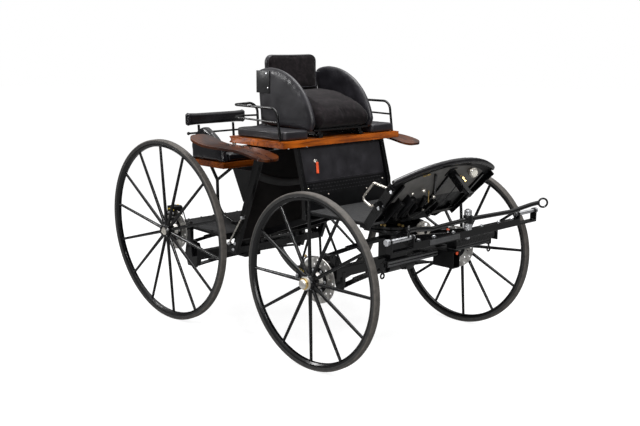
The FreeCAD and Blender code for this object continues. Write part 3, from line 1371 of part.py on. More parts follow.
def swingletree():
    """Bent tube on the pin, with a ring at each end for the traces."""
    x, z = SPLINTER_X, S.tree_height
    up = S.eye_above
    route = [(x + 4, 15, z), (x + 34, 370, z), (x + 62, 540, z + up - 4),
             (x + S.eye_ahead - 19.5, S.eye_half - 20.5, z + up)]
    arm = bent_tube("tree_arm", route, S.tree_radius, 90)
    eye = DOC.addObject("Part::Torus", "tree_eye")
    bind(eye, "Radius1", S.eye_radius)
    bind(eye, "Radius2", S.eye_wire)
    eye.Placement = Placement(point(x + S.eye_ahead, S.eye_half, z + up),
                              Rotation(Vector(0, 0, 1), Vector(1, -1, 0)))
    side = fuse("tree_side", [arm, eye])
    half = S.tree_boss / 2
    boss = rod("tree_boss", (x, 0, z - half), (x, 0, z + half), S.tree_pin + 17)
    bore = rod("tree_bore", (x, 0, z - half - 1), (x, 0, z + half + 1), S.tree_pin + S.running_gap)
    whole = fuse("tree_whole", [boss, side, mirrored("tree_side_other", side)])
    node("swingletree", cut("tree_bored", whole, bore))


def lower_crossbar():
    """Bar on each side of the pole socket, with a hanging ring under its outer end."""
    x, z, end = CROSSBAR_X, S.crossbar_height, S.crossbar_half
    half, inner = S.crossbar_size / 2, S.socket_width / 2
    bar = block("crossbar_left", (x - half, x + half), (inner, end), (z - half, z + half))
    lug = block("crossbar_lug", (x - 6, x + 6), (end, end + 34), (z - 30, z + 10))
    ring_across, ring_out, wire = end + 17, 14, 5
    stem_low = z - 30 - 18
    stem = rod("crossbar_stem", (x, ring_across, stem_low), (x, ring_across, z - 28), 6)
    hanging = DOC.addObject("Part::Torus", "crossbar_ring")
    hanging.Radius1 = ring_out
    hanging.Radius2 = wire
    hanging.Placement = Placement(point(x, ring_across, stem_low - ring_out),
                                  Rotation(Vector(0, 0, 1), Vector(1, 0, 0)))
    side = fuse("crossbar_side", [bar, lug, stem, hanging])
    node("lower_crossbar", both_sides("crossbar_both", side))


def pole_socket():
    """Rectangular tube for the pole, with a pin's bore through its top and bottom walls."""
    half, inner = S.crossbar_size / 2, S.socket_width / 2
    top = S.crossbar_height + half
    low, wall = top - S.socket_height, S.socket_wall
    mouth = FRONT_AXLE + S.socket_ahead
    rear = CROSSBAR_X - half
    outer = block("socket_outer", (rear, mouth), (-inner, inner), (low, top))
    hole = block("socket_hole", (rear + 12, mouth + 1), (-inner + wall, inner - wall),
                 (low + wall, top - wall))
    pin_x = FRONT_AXLE + S.pole_pin_ahead
    bore = rod("pole_pin_hole", (pin_x, 0, low - 1), (pin_x, 0, top + 1), S.pole_pin_radius)
    socket = cut("pole_socket_hollow", outer, hole)
    node("pole_socket", cut("pole_socket_bored", socket, bore))


def build():
    wheels()
    running_gear()
    chassis()
    seat_legs()
    footwell()
    dash()
    grab_loop()
    seat_board()
    side_pads()
    driver_seat()
    seat_rails()
    seat_box()
    mudguards()
    groom_seat()
    platform()
    groom_stays()
    groom_box()
    front_carriage()
    splinter_bar()
    swingletree()
    lower_crossbar()
    pole_socket()


def set_down():
    """Names each piece and puts the origin below the middle of the overall length."""
    placed = {}
    for label, thing in PARTS.items():
        whole = group("placed_" + label, [thing])
        whole.Label = label
        place(whole, (-MIDDLE, 0, 0))
        placed[label] = whole
    DOC.recompute()
    return placed


def check(placed):
    """Stops if an object failed or a sub-part has no sound solid."""
    for item in DOC.Objects:
        if {"Invalid", "Error"} & set(item.State):
            raise RuntimeError(f"{item.Label} failed: {item.State}")
    for label, part in placed.items():
        if part.Shape.isNull() or not part.Shape.isValid() or not part.Shape.Solids:
            raise RuntimeError(f"{label} has no sound solid")


def export(placed):
    os.makedirs("parts", exist_ok=True)
    for label, part in placed.items():
        part.Shape.exportStep(f"parts/{label}.step")


build()
PLACED = set_down()
check(PLACED)
export(PLACED)
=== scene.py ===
import json
import math

import bpy
from bpy.props import FloatProperty, FloatVectorProperty, IntProperty, PointerProperty
from mathutils import Matrix, Vector


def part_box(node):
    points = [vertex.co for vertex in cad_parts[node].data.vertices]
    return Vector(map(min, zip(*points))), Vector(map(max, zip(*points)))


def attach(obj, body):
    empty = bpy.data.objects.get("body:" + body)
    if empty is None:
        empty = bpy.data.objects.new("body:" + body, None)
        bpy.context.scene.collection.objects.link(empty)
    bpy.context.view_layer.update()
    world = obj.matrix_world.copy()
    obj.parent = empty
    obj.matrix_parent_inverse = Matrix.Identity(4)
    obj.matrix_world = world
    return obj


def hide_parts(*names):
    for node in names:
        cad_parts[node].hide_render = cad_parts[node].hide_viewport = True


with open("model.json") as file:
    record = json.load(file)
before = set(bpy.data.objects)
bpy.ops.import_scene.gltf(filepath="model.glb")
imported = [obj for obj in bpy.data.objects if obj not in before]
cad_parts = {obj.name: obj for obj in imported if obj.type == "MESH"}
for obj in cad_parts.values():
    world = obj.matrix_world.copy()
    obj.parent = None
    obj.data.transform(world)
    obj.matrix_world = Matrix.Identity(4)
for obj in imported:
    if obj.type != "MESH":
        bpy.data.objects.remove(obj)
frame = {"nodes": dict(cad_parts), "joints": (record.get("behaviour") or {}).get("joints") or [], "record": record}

bl_info = {
    "name": "Driving carriage",
    "version": (1, 0, 0),
    "blender": (4, 5, 0),
    "location": "3D View > Sidebar > Carriage",
    "description": "Upholstery, fittings, finishes and studio round a four-wheeled driving carriage",
    "category": "Object",
}

NODES = frame["nodes"]
JOINTS = {joint["name"]: joint for joint in frame["joints"]}
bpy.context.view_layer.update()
WHEELS = ("rear_left", "rear_right", "front_left", "front_right")
UP = Vector((0, 0, 1))
FORWARD = Vector((1, 0, 0))
LEFT = Vector((0, 1, 0))
RIGHT = Vector((0, -1, 0))


def middle(node):
    """Centre of a node's box."""
    low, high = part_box(node)
    return (low + high) / 2


# ---------------------------------------------------------------- settings
class CarriageColours(bpy.types.PropertyGroup):
    """Colours of the carriage's finishes."""

    paint: FloatVectorProperty(
        name="Paint", description="Gloss paint of the steelwork",
        subtype="COLOR", default=(0.0022, 0.0022, 0.0026), min=0, max=1)
    leather: FloatVectorProperty(
        name="Leather", description="Smooth leather of the pads and wings",
        subtype="COLOR", default=(0.0150, 0.0140, 0.0176), min=0, max=1)
    suede: FloatVectorProperty(
        name="Suede", description="Napped cloth of the driver's seat",
        subtype="COLOR", default=(0.0066, 0.0049, 0.0057), min=0, max=1)
    wood_light: FloatVectorProperty(
        name="Light grain", description="Light grain of the varnished wood",
        subtype="COLOR", default=(0.50, 0.112, 0.005), min=0, max=1)
    wood_dark: FloatVectorProperty(
        name="Dark grain", description="Dark grain of the varnished wood",
        subtype="COLOR", default=(0.075, 0.013, 0.0035), min=0, max=1)
    tyre: FloatVectorProperty(
        name="Tyres", description="Solid rubber of the tyres",
        subtype="COLOR", default=(0.0300, 0.0295, 0.0290), min=0, max=1)


class CarriageUpholstery(bpy.types.PropertyGroup):
    """Sizes of the padded pieces."""

    cell: FloatProperty(
        name="Cloth cell", description="Size of one cell of the padded covers",
        default=0.0065, min=0.003, max=0.02, unit="LENGTH")
    pressure: FloatProperty(
        name="Filling", description="Pressure of the filling on the cover",
        default=4.0, min=0, max=20)
    frames: IntProperty(
        name="Settling steps", description="Steps that a cover takes to settle",
        default=20, min=2, max=60)


class CarriageStudio(bpy.types.PropertyGroup):
    """Camera and light."""

    lens: FloatProperty(
        name="Lens", description="Focal length of the camera, in millimetres",
        default=52.79, min=10, max=200)
    azimuth: FloatProperty(
        name="Azimuth", description="Turn of the camera round the carriage",
        subtype="ANGLE", default=math.radians(45.429))
    elevation: FloatProperty(
        name="Elevation", description="Tilt of the camera below the horizontal",
        subtype="ANGLE", default=math.radians(10.676))
    roll: FloatProperty(
        name="Roll", description="Turn of the camera about its own axis",
        subtype="ANGLE", default=math.radians(0.346))
    place: FloatVectorProperty(
        name="Place", description="Where the camera stands",
        subtype="TRANSLATION", unit="LENGTH", default=(4.2974, -4.2200, 1.8602))
    sky: FloatProperty(
        name="Fill light", description="Strength of the light from all round",
        default=0.62, min=0, max=3)
    lamp: FloatProperty(
        name="Lamp power", description="Power that each lamp takes its share of, in watts",
        default=120.0, min=0, max=2000)


def settings(group):
    return getattr(bpy.context.scene, group)


def tint(name):
    """One of the colours that the user sets."""
    return tuple(getattr(settings("carriage_colours"), name))


# ---------------------------------------------------------------- finishes
def feed(tree, socket, value):
    """Links another node's output to a socket, or sets the socket's own value."""
    if isinstance(value, bpy.types.NodeSocket):
        tree.links.new(value, socket)
    else:
        socket.default_value = value


def add_node(tree, kind, inputs=(), **options):
    made = tree.nodes.new(kind)
    for option, value in options.items():
        setattr(made, option, value)
    for socket, value in dict(inputs).items():
        feed(tree, made.inputs[socket], value)
    return made


def shade(colour, factor):
    return tuple(min(1.0, part * factor) for part in colour)


class Finish:
    """A material's node tree, built from its shader backwards."""

    def __init__(self, name, roughness=0.5, metallic=0.0, **sockets):
        self.material = bpy.data.materials.new(name)
        self.material.use_nodes = True
        self.tree = self.material.node_tree
        self.shader = self.tree.nodes["Principled BSDF"]
        for socket, value in dict(sockets, Roughness=roughness, Metallic=metallic).items():
            self.set(socket.replace("_", " "), value)
        self.place = self.node("ShaderNodeTexCoord").outputs["Object"]

    def node(self, kind, inputs=(), **options):
        return add_node(self.tree, kind, inputs, **options)

    def set(self, socket, value):
        feed(self.tree, self.shader.inputs[socket], value)

    def surface(self, colour, roughness=None, normal=None):
        """Sets what the shader takes from nodes and gives back the material."""
        for socket, value in (("Base Color", colour), ("Roughness", roughness), ("Normal", normal)):
            if value is not None:
                self.set(socket, value)
        return self.material

    def moved(self, location=(0, 0, 0), scale=(1, 1, 1)):
        return self.node("ShaderNodeMapping", {
            "Vector": self.place, "Location": location, "Scale": scale}).outputs["Vector"]

    def noise(self, scale, detail=4.0, rough=0.55, where=None, distortion=0.0):
        return self.node("ShaderNodeTexNoise", {
            "Vector": where or self.place, "Scale": scale, "Detail": detail,
            "Roughness": rough, "Distortion": distortion}).outputs["Fac"]

    def reach(self, centre):
        """Distance from an axle that lies across the carriage."""
        moved = self.moved(location=[-part for part in centre])
        spread = self.node("ShaderNodeSeparateXYZ", {"Vector": moved}).outputs
        flat = self.node("ShaderNodeCombineXYZ", {"X": spread["X"], "Z": spread["Z"]}).outputs[0]
        return self.node("ShaderNodeVectorMath", {0: flat}, operation="LENGTH").outputs["Value"]

    def ramp(self, value, stops):
        """Colour stops along a value."""
        made = self.node("ShaderNodeValToRGB", {"Fac": value})
        band = made.color_ramp
        while len(band.elements) < len(stops):
            band.elements.new(0.5)
        for element, (position, colour) in zip(band.elements, stops):
            element.position = position
            element.color = (*colour, 1)
        return made.outputs["Color"]

    def tones(self, value, colour, *stops):
        """One colour along a value, with its factor at each stop."""
        return self.ramp(value, [(position, shade(colour, factor)) for position, factor in stops])

    def range(self, value, low, high, start=0.0, end=1.0):
        return self.node("ShaderNodeMapRange", {
            "Value": value, "From Min": start, "From Max": end,
            "To Min": low, "To Max": high}).outputs["Result"]

    def maths(self, operation, first, second):
        return self.node("ShaderNodeMath", {0: first, 1: second}, operation=operation).outputs[0]

    def mix(self, share, first, second):
        return self.node("ShaderNodeMix", {0: share, 6: first, 7: (*second, 1)},
                         data_type="RGBA").outputs[2]

    def soft_edges(self, radius):
        """Normals rounded over each sharp edge, so that it catches the light."""
        return self.node("ShaderNodeBevel", {"Radius": radius}, samples=4).outputs["Normal"]

    def bump(self, height, strength, distance, normal=None):
        inputs = {"Height": height, "Strength": strength, "Distance": distance}
        if normal is not None:
            inputs["Normal"] = normal
        return self.node("ShaderNodeBump", inputs).outputs["Normal"]


def painted_steel():
    """Black gloss paint over steel, slightly dusty, with soft edges and a faint ripple."""
    finish = Finish("gloss_paint", 0.14, Specular_IOR_Level=0.36)
    dust = finish.noise(9, 6, 0.62)
    specks = finish.maths("MULTIPLY", dust, finish.noise(220, 2))
    return finish.surface(
        finish.tones(dust, tint("paint"), (0.35, 0.8), (0.62, 1), (0.85, 2.2)),
        finish.range(specks, 0.10, 0.30, 0.1, 0.5),
        finish.bump(finish.noise(70, 2), 0.10, 0.0006, finish.soft_edges(0.0050)))


def worn_paint():
    """Satin black of the floor plates and brackets, grey where it is scuffed."""
    finish = Finish("satin_paint", 0.34, Specular_IOR_Level=0.24)
    scuffs = finish.noise(26, 8, 0.7)
    return finish.surface(
        finish.tones(scuffs, tint("paint"), (0.4, 1), (0.62, 1.5), (0.80, 5.0)),
        finish.range(scuffs, 0.26, 0.5, 0.3, 0.7),
        finish.bump(finish.noise(420, 3), 0.14, 0.0004, finish.soft_edges(0.0018)))


def tyre_rubber(wheel):
    """Rubber, dusty where it rolls, with a paler line worn along its edges."""
    finish = Finish(f"{wheel}_tyre_rubber", 0.62, Specular_IOR_Level=0.3)
    reach = finish.reach(JOINTS[f"{wheel}_wheel_spin"]["pos_m"])
    low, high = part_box(f"{wheel}_tyre")
    outer = (high.x - low.x) / 2
    dust = finish.noise(34, 7, 0.68)
    edge = finish.maths("SUBTRACT", finish.range(reach, 0, 1, outer - 0.0125, outer - 0.006),
                        finish.range(reach, 0, 0.25, outer - 0.005, outer - 0.0015))
    dusty = finish.maths("MULTIPLY", edge, finish.range(dust, 0.25, 0.85, 0.3, 0.65))
    side = finish.tones(dust, tint("tyre"), (0.3, 0.75), (0.7, 1.5))
    fine = finish.bump(finish.noise(900, 3), 0.25, 0.0003)
    return finish.surface(
        finish.mix(dusty, side, (0.135, 0.120, 0.106)),
        finish.range(dust, 0.48, 0.75, 0.25, 0.75),
        finish.bump(finish.noise(60, 5), 0.2, 0.0008, fine))


def varnished_wood(name, along, warmth, dark_share, coat=0.25, gloss=0.10):
    """Oiled hardwood under clear varnish, its grain along one axis."""
    light, dark = shade(tint("wood_light"), warmth), shade(tint("wood_dark"), warmth)
    finish = Finish(name, 0.34, Coat_Weight=coat, Coat_Roughness=gloss, Specular_IOR_Level=0.16)

    def stretched(across, lengthwise):
        return finish.moved(scale=[lengthwise if axis == along else across for axis in "XYZ"])

    grain = stretched(30.0, 1.8)
    bands = finish.noise(1.0, 8, 0.66, grain, 0.7)
    pores = finish.noise(9.0, 3, 0.7, grain)
    patches = finish.noise(1.0, 3, 0.5, stretched(7.0, 3.2))
    banded = finish.ramp(bands, [
        (0.32, dark), (0.44, shade(light, 0.55)), (0.54, light), (0.68, shade(light, 0.75)),
        (0.8, shade(light, 0.4))])
    darker = finish.mix(finish.range(patches, 0.0, dark_share, 0.45, 0.62), banded, shade(dark, 1.3))
    return finish.surface(
        finish.mix(finish.range(pores, 0.6, 0.0, 0.32, 0.45), darker, shade(dark, 0.4)),
        finish.range(bands, 0.24, 0.38, 0.3, 0.7),
        finish.bump(pores, 0.12, 0.0004, finish.soft_edges(0.003)))


def smooth_leather(name, roughness, depth, creasing=0.12):
    """Full-grain leather with fine creases and a soft sheen."""
    finish = Finish(name, roughness, Specular_IOR_Level=0.45)
    cells = finish.node("ShaderNodeTexVoronoi", {
        "Vector": finish.place, "Scale": 620.0, "Randomness": 1.0},
        feature="DISTANCE_TO_EDGE").outputs["Distance"]
    creases = finish.noise(13, 3, 0.5)
    fine = finish.bump(finish.range(cells, 0, 1, 0, 0.12), 0.10, 0.0003)
    return finish.surface(
        finish.tones(creases, shade(tint("leather"), depth), (0.3, 0.72), (0.55, 1), (0.8, 1.7)),
        finish.range(creases, roughness * 0.82, roughness * 1.25, 0.3, 0.7),
        finish.bump(creases, creasing, 0.0016, fine))


def napped_suede():
    """Short nap, mottled in tone, with lighter patches painted in as the sheen where the nap catches the light."""
    colour = tint("suede")
    finish = Finish("napped_suede", 0.92, Specular_IOR_Level=0.12, Sheen_Weight=0.10,
                    Sheen_Roughness=0.4)
    nap_tone_and_sheen = finish.noise(24, 6, 0.66, distortion=0.8)
    fibre = finish.noise(1100, 3, 0.7)
    # The nap's mottle is partly its own tone; its lighter patches are painted sheen.
    patches = finish.tones(nap_tone_and_sheen, colour, (0.36, 0.6), (0.50, 1), (0.64, 2.4))
    return finish.surface(
        finish.mix(finish.range(fibre, 0.35, 0.0, 0.3, 0.6), patches, shade(colour, 0.3)),
        normal=finish.bump(fibre, 0.35, 0.0005))


def woven_mesh():
    """Open weave of brown-black yarn, with painted shade in the gaps between the yarns."""
    finish = Finish("woven_mesh", 0.85, Specular_IOR_Level=0.15)
    weave_and_gap_shade = finish.maths("MULTIPLY", *(finish.node("ShaderNodeTexWave", {
        "Vector": finish.place, "Scale": 95.0, "Distortion": 0.4},
        bands_direction=axis).outputs["Fac"] for axis in "YZ"))
    yarn = finish.ramp(finish.noise(14, 5), [
        (0.3, (0.0062, 0.0052, 0.0050)), (0.7, (0.0150, 0.0125, 0.0118))])
    # The gaps between the yarns are painted near black as painted shade, not as the yarn's colour.
    return finish.surface(
        finish.mix(finish.range(weave_and_gap_shade, 0.75, 0.0, 0.1, 0.5), yarn, (0.0015, 0.0013, 0.0012)),
        normal=finish.bump(weave_and_gap_shade, 0.6, 0.0008))


def metal(name, colour, roughness, streaks=0.0):
    """Bare or plated metal, with a little tarnish in its roughness and colour."""
    finish = Finish(name, roughness, 1.0)
    tarnish = finish.noise(40, 6, 0.65)
    ground = finish.bump(finish.noise(1.0, 4, 0.6, finish.moved(scale=(6, 6, 400))),
                         streaks, 0.0003) if streaks else None
    return finish.surface(
        finish.tones(tarnish, colour, (0.3, 0.72), (0.6, 1), (0.8, 1.1)),
        finish.range(tarnish, roughness * 0.75, roughness * 1.5, 0.3, 0.7), ground)


def disc_steel(wheel):
    """Ground steel with rings left by the pads, turned about the wheel's own axis."""
    finish = Finish(f"{wheel}_disc_steel", 0.3, 1.0)
    reach = finish.reach(JOINTS[f"{wheel}_wheel_spin"]["pos_m"])
    along = finish.node("ShaderNodeCombineXYZ", {"X": finish.maths("MULTIPLY", reach, 900.0)})
    rings = finish.noise(1.0, 5, 0.7, along.outputs[0])
    stains = finish.ramp(finish.noise(30, 5), [
        (0.3, (0.46, 0.44, 0.42)), (0.55, (0.86, 0.84, 0.80)), (0.8, (0.94, 0.92, 0.88))])
    return finish.surface(stains, finish.range(rings, 0.30, 0.52, 0.3, 0.7),
                          finish.bump(rings, 0.25, 0.0002))


def moulded(name, colour, roughness, grain=300.0):
    """Moulded rubber or plastic with a fine grain."""
    finish = Finish(name, roughness)
    patches = finish.noise(22, 5)
    return finish.surface(
        finish.tones(patches, colour, (0.3, 0.8), (0.7, 1.25)),
        finish.range(patches, roughness * 0.85, roughness * 1.15, 0.3, 0.7),
        finish.bump(finish.noise(grain, 2), 0.15, 0.0003))


def clear_glass():
    """Clear glass with a slight ripple."""
    finish = Finish("clear_glass", 0.04, Transmission_Weight=0.9, IOR=1.5)
    ripple = finish.noise(60, 2)
    return finish.surface(
        finish.ramp(ripple, [(0.3, (0.90, 0.91, 0.90)), (0.7, (0.97, 0.98, 0.97))]),
        normal=finish.bump(ripple, 0.05, 0.0005))


WOODEN = {
    "seat_board": ("board_wood", "Y", 1.0, 0.75),
    "groom_board": ("groom_board_wood", "Y", 0.42, 0.6),
    "mudguards": ("mudguard_wood", "X", 0.17, 0.97, 0.25, 0.07),
}
SATIN = ("chassis_frame", "footwell_floor", "groom_platform", "kick_panel", "groom_box",
         "rear_calipers", "front_calipers", "dash_panel", "brake_pedals", "pole_socket")
RECIPES = {
    "gloss": (painted_steel,), "satin": (worn_paint,), "suede": (napped_suede,),
    "mesh": (woven_mesh,), "glass": (clear_glass,),
    "leather": (smooth_leather, "smooth_leather", 0.39, 0.85, 0.08),
    "gloss_leather": (smooth_leather, "polished_leather", 0.19, 0.4),
    "patent": (smooth_leather, "patent_leather", 0.13, 0.35, 0.03),
    "nickel": (metal, "satin_nickel", (0.80, 0.76, 0.69), 0.25),
    "zinc": (metal, "bright_zinc", (0.78, 0.79, 0.81), 0.27, 0.2),
    "dull": (metal, "dull_metal", (0.10, 0.10, 0.105), 0.5),
    "brass": (metal, "yellow_brass", (0.85, 0.60, 0.24), 0.27),
    "rubber": (moulded, "black_rubber", (0.014, 0.014, 0.014), 0.62),
    "mat": (moulded, "ribbed_rubber", (0.022, 0.022, 0.023), 0.7, 500.0),
    "lined": (moulded, "grey_edging", (0.060, 0.061, 0.063), 0.5, 700.0),
    "liner": (moulded, "grey_liner", (0.150, 0.145, 0.138), 0.6, 500.0),
    "orange": (moulded, "orange_plastic", (0.75, 0.085, 0.02), 0.4),
    "yellow": (moulded, "yellow_plastic", (0.80, 0.58, 0.05), 0.4),
    "plate": (moulded, "black_plate", (0.008, 0.008, 0.009), 0.35, 120.0),
}
FINISHES = {}


class CARRIAGE_OT_finishes(bpy.types.Operator):
    """Make every finish and put the right one on each piece of the frame"""

    bl_idname = "carriage.finishes"
    bl_label = "Finishes"

    def execute(self, context):
        FINISHES.update({name: make(*values) for name, (make, *values) in RECIPES.items()})
        slots = {part["node"]: part.get("material_slot") for part in frame["record"]["subparts"]}
        for name, piece in NODES.items():
            wheel = name.rsplit("_", 1)[0]
            if name.endswith("_tyre"):
                chosen = tyre_rubber(wheel)
            elif name.endswith("_hub"):
                chosen = disc_steel(wheel)
            elif name in WOODEN:
                chosen = varnished_wood(*WOODEN[name])
            elif name in SATIN:
                chosen = FINISHES["satin"]
            elif slots[name] == "black_steel":
                chosen = FINISHES["gloss"]
            else:
                chosen = FINISHES[slots[name]]
            finish_with(piece, chosen)
        return {"FINISHED"}


# ---------------------------------------------------------------- shaping
def clear_selection():
    if bpy.context.object and bpy.context.object.mode != "OBJECT":
        bpy.ops.object.mode_set(mode="OBJECT")
    bpy.ops.object.select_all(action="DESELECT")


def choose(*pieces):
    """Selects these pieces and makes the first one active."""
    clear_selection()
    for piece in pieces:
        piece.select_set(True)
    bpy.context.view_layer.objects.active = pieces[0]
    return pieces[0]


def named(name):
    piece = bpy.context.object
    piece.name = name
    piece.data.name = name
    return piece


def edit(mode="FACE", whole=False):
    """Goes into edit mode, with the whole mesh selected if asked."""
    bpy.ops.object.mode_set(mode="EDIT")
    bpy.ops.mesh.select_mode(type=mode)
    if whole:
        bpy.ops.mesh.select_all(action="SELECT")


def done():
    bpy.ops.object.mode_set(mode="OBJECT")


def pick(piece, kind, test):
    """Selects the faces, edges or vertices that pass a test; call it in object mode."""
    for part in (piece.data.vertices, piece.data.edges, piece.data.polygons):
        part.foreach_set("select", [False] * len(part))
    for item in getattr(piece.data, kind):
        item.select = bool(test(item))


def modify(piece, kind, **options):
    """Adds a modifier and applies it."""
    made = piece.modifiers.new(kind.title(), kind)
    for option, value in options.items():
        setattr(made, option, value)
    choose(piece)
    bpy.ops.object.modifier_apply(modifier=made.name)
    return piece


def settle(piece):
    """Puts the object's place into its mesh."""
    choose(piece)
    bpy.ops.object.transform_apply(location=True, rotation=True, scale=True)
    return piece


def smooth(piece, angle=0.6):
    choose(piece)
    bpy.ops.object.shade_smooth_by_angle(angle=angle)
    return piece


def finish_with(piece, material):
    piece.data.materials.clear()
    piece.data.materials.append(material)


def fit(piece, finish, body="chassis", replaced=None):
    """Gives a piece its finish, its body and the node that it stands for."""
    finish_with(piece, FINISHES[finish])
    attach(piece, body)
    if replaced:
        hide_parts(replaced)
    return piece


def facing(where, axis):
    """Place of a piece modelled upright, with its top towards an axis."""
    turn = UP.rotation_difference(Vector(axis).normalized())
    return Matrix.Translation(Vector(where)) @ turn.to_matrix().to_4x4()


def put(piece, place):
    """Moves a piece's mesh to its place."""
    piece.data.transform(place)
    return piece


def outwards():
    """Turns the faces of the piece in edit mode outwards, and leaves edit mode."""
    bpy.ops.mesh.select_all(action="SELECT")
    bpy.ops.mesh.normals_make_consistent(inside=False)
    done()


def join(name, pieces):
    choose(*pieces)
    if len(pieces) > 1:
        bpy.ops.object.join()
    return named(name)


def copies(source, name, places):
    """Copies of a piece, each with its own mesh, joined as one; the source goes."""
    made = []
    for place in places:
        copy = source.copy()
        copy.data = source.data.copy()
        copy.data.transform(place)
        bpy.context.scene.collection.objects.link(copy)
        made.append(copy)
    bpy.data.objects.remove(source)
    return join(name, made)


def turned(name, profile, sides=20, angle=0.6):
    """Closed round piece on the upright axis, extruded along (radius, height) steps."""
    clear_selection()
    radius, height = profile[0]
    bpy.ops.mesh.primitive_circle_add(
        vertices=sides, radius=radius, fill_type="NGON", location=(0, 0, height))
    piece = settle(named(name))
    edit(whole=True)
    for (last, low), (radius, height) in zip(profile, profile[1:]):
        bpy.ops.mesh.extrude_region_move(TRANSFORM_OT_translate={"value": (0, 0, height - low)})
        bpy.ops.transform.resize(
            value=(radius / last, radius / last, 1), center_override=(0, 0, height))
    outwards()
    return smooth(piece, angle)


def stepped(name, radius, height, steps, sides=20, angle=0.6):
    """Turned piece whose steps are shares of its radius and height."""
    return turned(name, [(radius * wide, height * high) for wide, high in steps], sides, angle)


def slab(name, low, high, edge=0.001, segments=2):
    """Block with rounded edges between two corners."""
    clear_selection()
    low, high = Vector(low), Vector(high)
    bpy.ops.mesh.primitive_cube_add(size=1, location=(low + high) / 2)
    piece = named(name)
    piece.scale = high - low
    settle(piece)
    if edge:
        modify(piece, "BEVEL", width=edge, segments=segments, limit_method="ANGLE")
    return smooth(piece, 0.7)


def tube(name, points, radius, closed=False, bend=True, sides=4):
    """Round tube along a smooth line through its points, with closed ends."""
    clear_selection()
    bpy.ops.curve.primitive_nurbs_path_add()
    piece = named(name)
    line = piece.data
    line.dimensions = "3D"
    line.splines.clear()
    spline = line.splines.new("NURBS" if bend else "POLY")
    spline.points.add(len(points) - 1)
    for knot, point in zip(spline.points, points):
        knot.co = (*point, 1)
    if bend:
        spline.order_u = 3
        spline.use_endpoint_u = not closed
    spline.use_cyclic_u = closed
    line.bevel_depth = radius
    line.bevel_resolution = sides
    line.resolution_u = 6
    line.use_fill_caps = not closed
    choose(piece)
    bpy.ops.object.convert(target="MESH")
    return settle(smooth(bpy.context.object, 0.9))


# ---------------------------------------------------------------- upholstery
# Node, finish, corner radius, cap on the filling's push, crown, mirrored from the left, fill.
COVERS = (
    ("seat_wings", "leather", 0.020, 0.007, 0.0, True, 0.75),
    ("seat_cushion", "suede", 0.014, 0.014, 0.004, False, 0.8),
    ("back_pad", "suede", 0.016, 0.009, 0.0, False, 0.7),
    ("side_pads", "leather", 0.007, 0.003, 0.002, True, 0.85),
    ("groom_bolsters", "gloss_leather", 0.014, 0.006, 0.0, True, 0.8),
    ("groom_cushion", "gloss_leather", 0.012, 0.009, 0.005, False, 0.7),
    ("groom_backrest", "gloss_leather", 0.018, 0.004, 0.0, False, 0.8),
    ("dash_rim", "patent", 0.003, 0.0, 0.0, False, 0.95),
)


def solid_copy(node, half):
    """A node's mesh as a closed surface of its own, the left half alone if it has two."""
    piece = NODES[node].copy()
    piece.data = NODES[node].data.copy()
    piece.parent = None
    piece.data.materials.clear()
    for key in list(piece.keys()):
        del piece[key]
    bpy.context.scene.collection.objects.link(piece)
    choose(piece)
    named(f"{node}_cover")
    edit("VERT", whole=True)
    bpy.ops.mesh.remove_doubles(threshold=0.00002)
    done()
    if half:
        pick(piece, "vertices", lambda vertex: vertex.co.y < 0)
        edit("VERT")
        bpy.ops.mesh.delete(type="VERT")
        done()
    edit("VERT", whole=True)
    bpy.ops.mesh.dissolve_limited(angle_limit=0.02)
    done()
    return piece


def extent(piece):
    """Lowest and highest corners of a piece."""
    spots = [vertex.co for vertex in piece.data.vertices]
    return (Vector([min(spot[axis] for spot in spots) for axis in range(3)]),
            Vector([max(spot[axis] for spot in spots) for axis in range(3)]))


def cover_blank(node, corner, half):
    """Rounded, evenly meshed blank for the filling to swell, and its solid's extent."""
    sizes = settings("carriage_upholstery")
    piece = solid_copy(node, half)
    limits = extent(piece)
    modify(piece, "BEVEL", width=corner, segments=4, limit_method="ANGLE",
           angle_limit=0.6, use_clamp_overlap=False)
    modify(piece, "REMESH", mode="VOXEL", voxel_size=sizes.cell, adaptivity=0)
    modify(piece, "SMOOTH", factor=0.5, iterations=4)
    return piece, limits


def swell(caps):
    """Fills the covers as cloth under pressure, all at once, and caps how far they move."""
    sizes = settings("carriage_upholstery")
    scene = bpy.context.scene
    starts = {}
    for piece in caps:
        starts[piece.name] = [vertex.co.copy() for vertex in piece.data.vertices]
        cloth = piece.modifiers.new("Cloth", "CLOTH")
        cloth.settings.quality = 4
        cloth.settings.mass = 0.3
        cloth.settings.tension_stiffness = 12
        cloth.settings.compression_stiffness = 12
        cloth.settings.bending_stiffness = 0.8
        cloth.settings.use_pressure = True
        cloth.settings.uniform_pressure_force = sizes.pressure
        cloth.settings.effector_weights.gravity = 0
        cloth.point_cache.frame_start = 1
        cloth.point_cache.frame_end = sizes.frames
    for step in range(1, sizes.frames + 1):
        scene.frame_set(step)
    view = bpy.context.evaluated_depsgraph_get()
    settled = {piece.name: [vertex.co.copy() for vertex in piece.evaluated_get(view).data.vertices]
               for piece in caps}
    for piece, cap in caps.items():
        piece.modifiers.clear()
        for vertex, start, end in zip(piece.data.vertices, starts[piece.name], settled[piece.name]):
            move = end - start
            if move.length > cap:
                move *= cap / move.length
            vertex.co = start + move
    scene.frame_set(1)


def fill_box(piece, limits, crown):
    """Stretches a settled cover to its solid's extent, with its crown above."""
    low, high = extent(piece)
    want_low, want_high = limits[0].copy(), limits[1].copy()
    want_high.z += crown
    for vertex in piece.data.vertices:
        for axis in range(3):
            share = (vertex.co[axis] - low[axis]) / (high[axis] - low[axis])
            vertex.co[axis] = want_low[axis] + share * (want_high[axis] - want_low[axis])


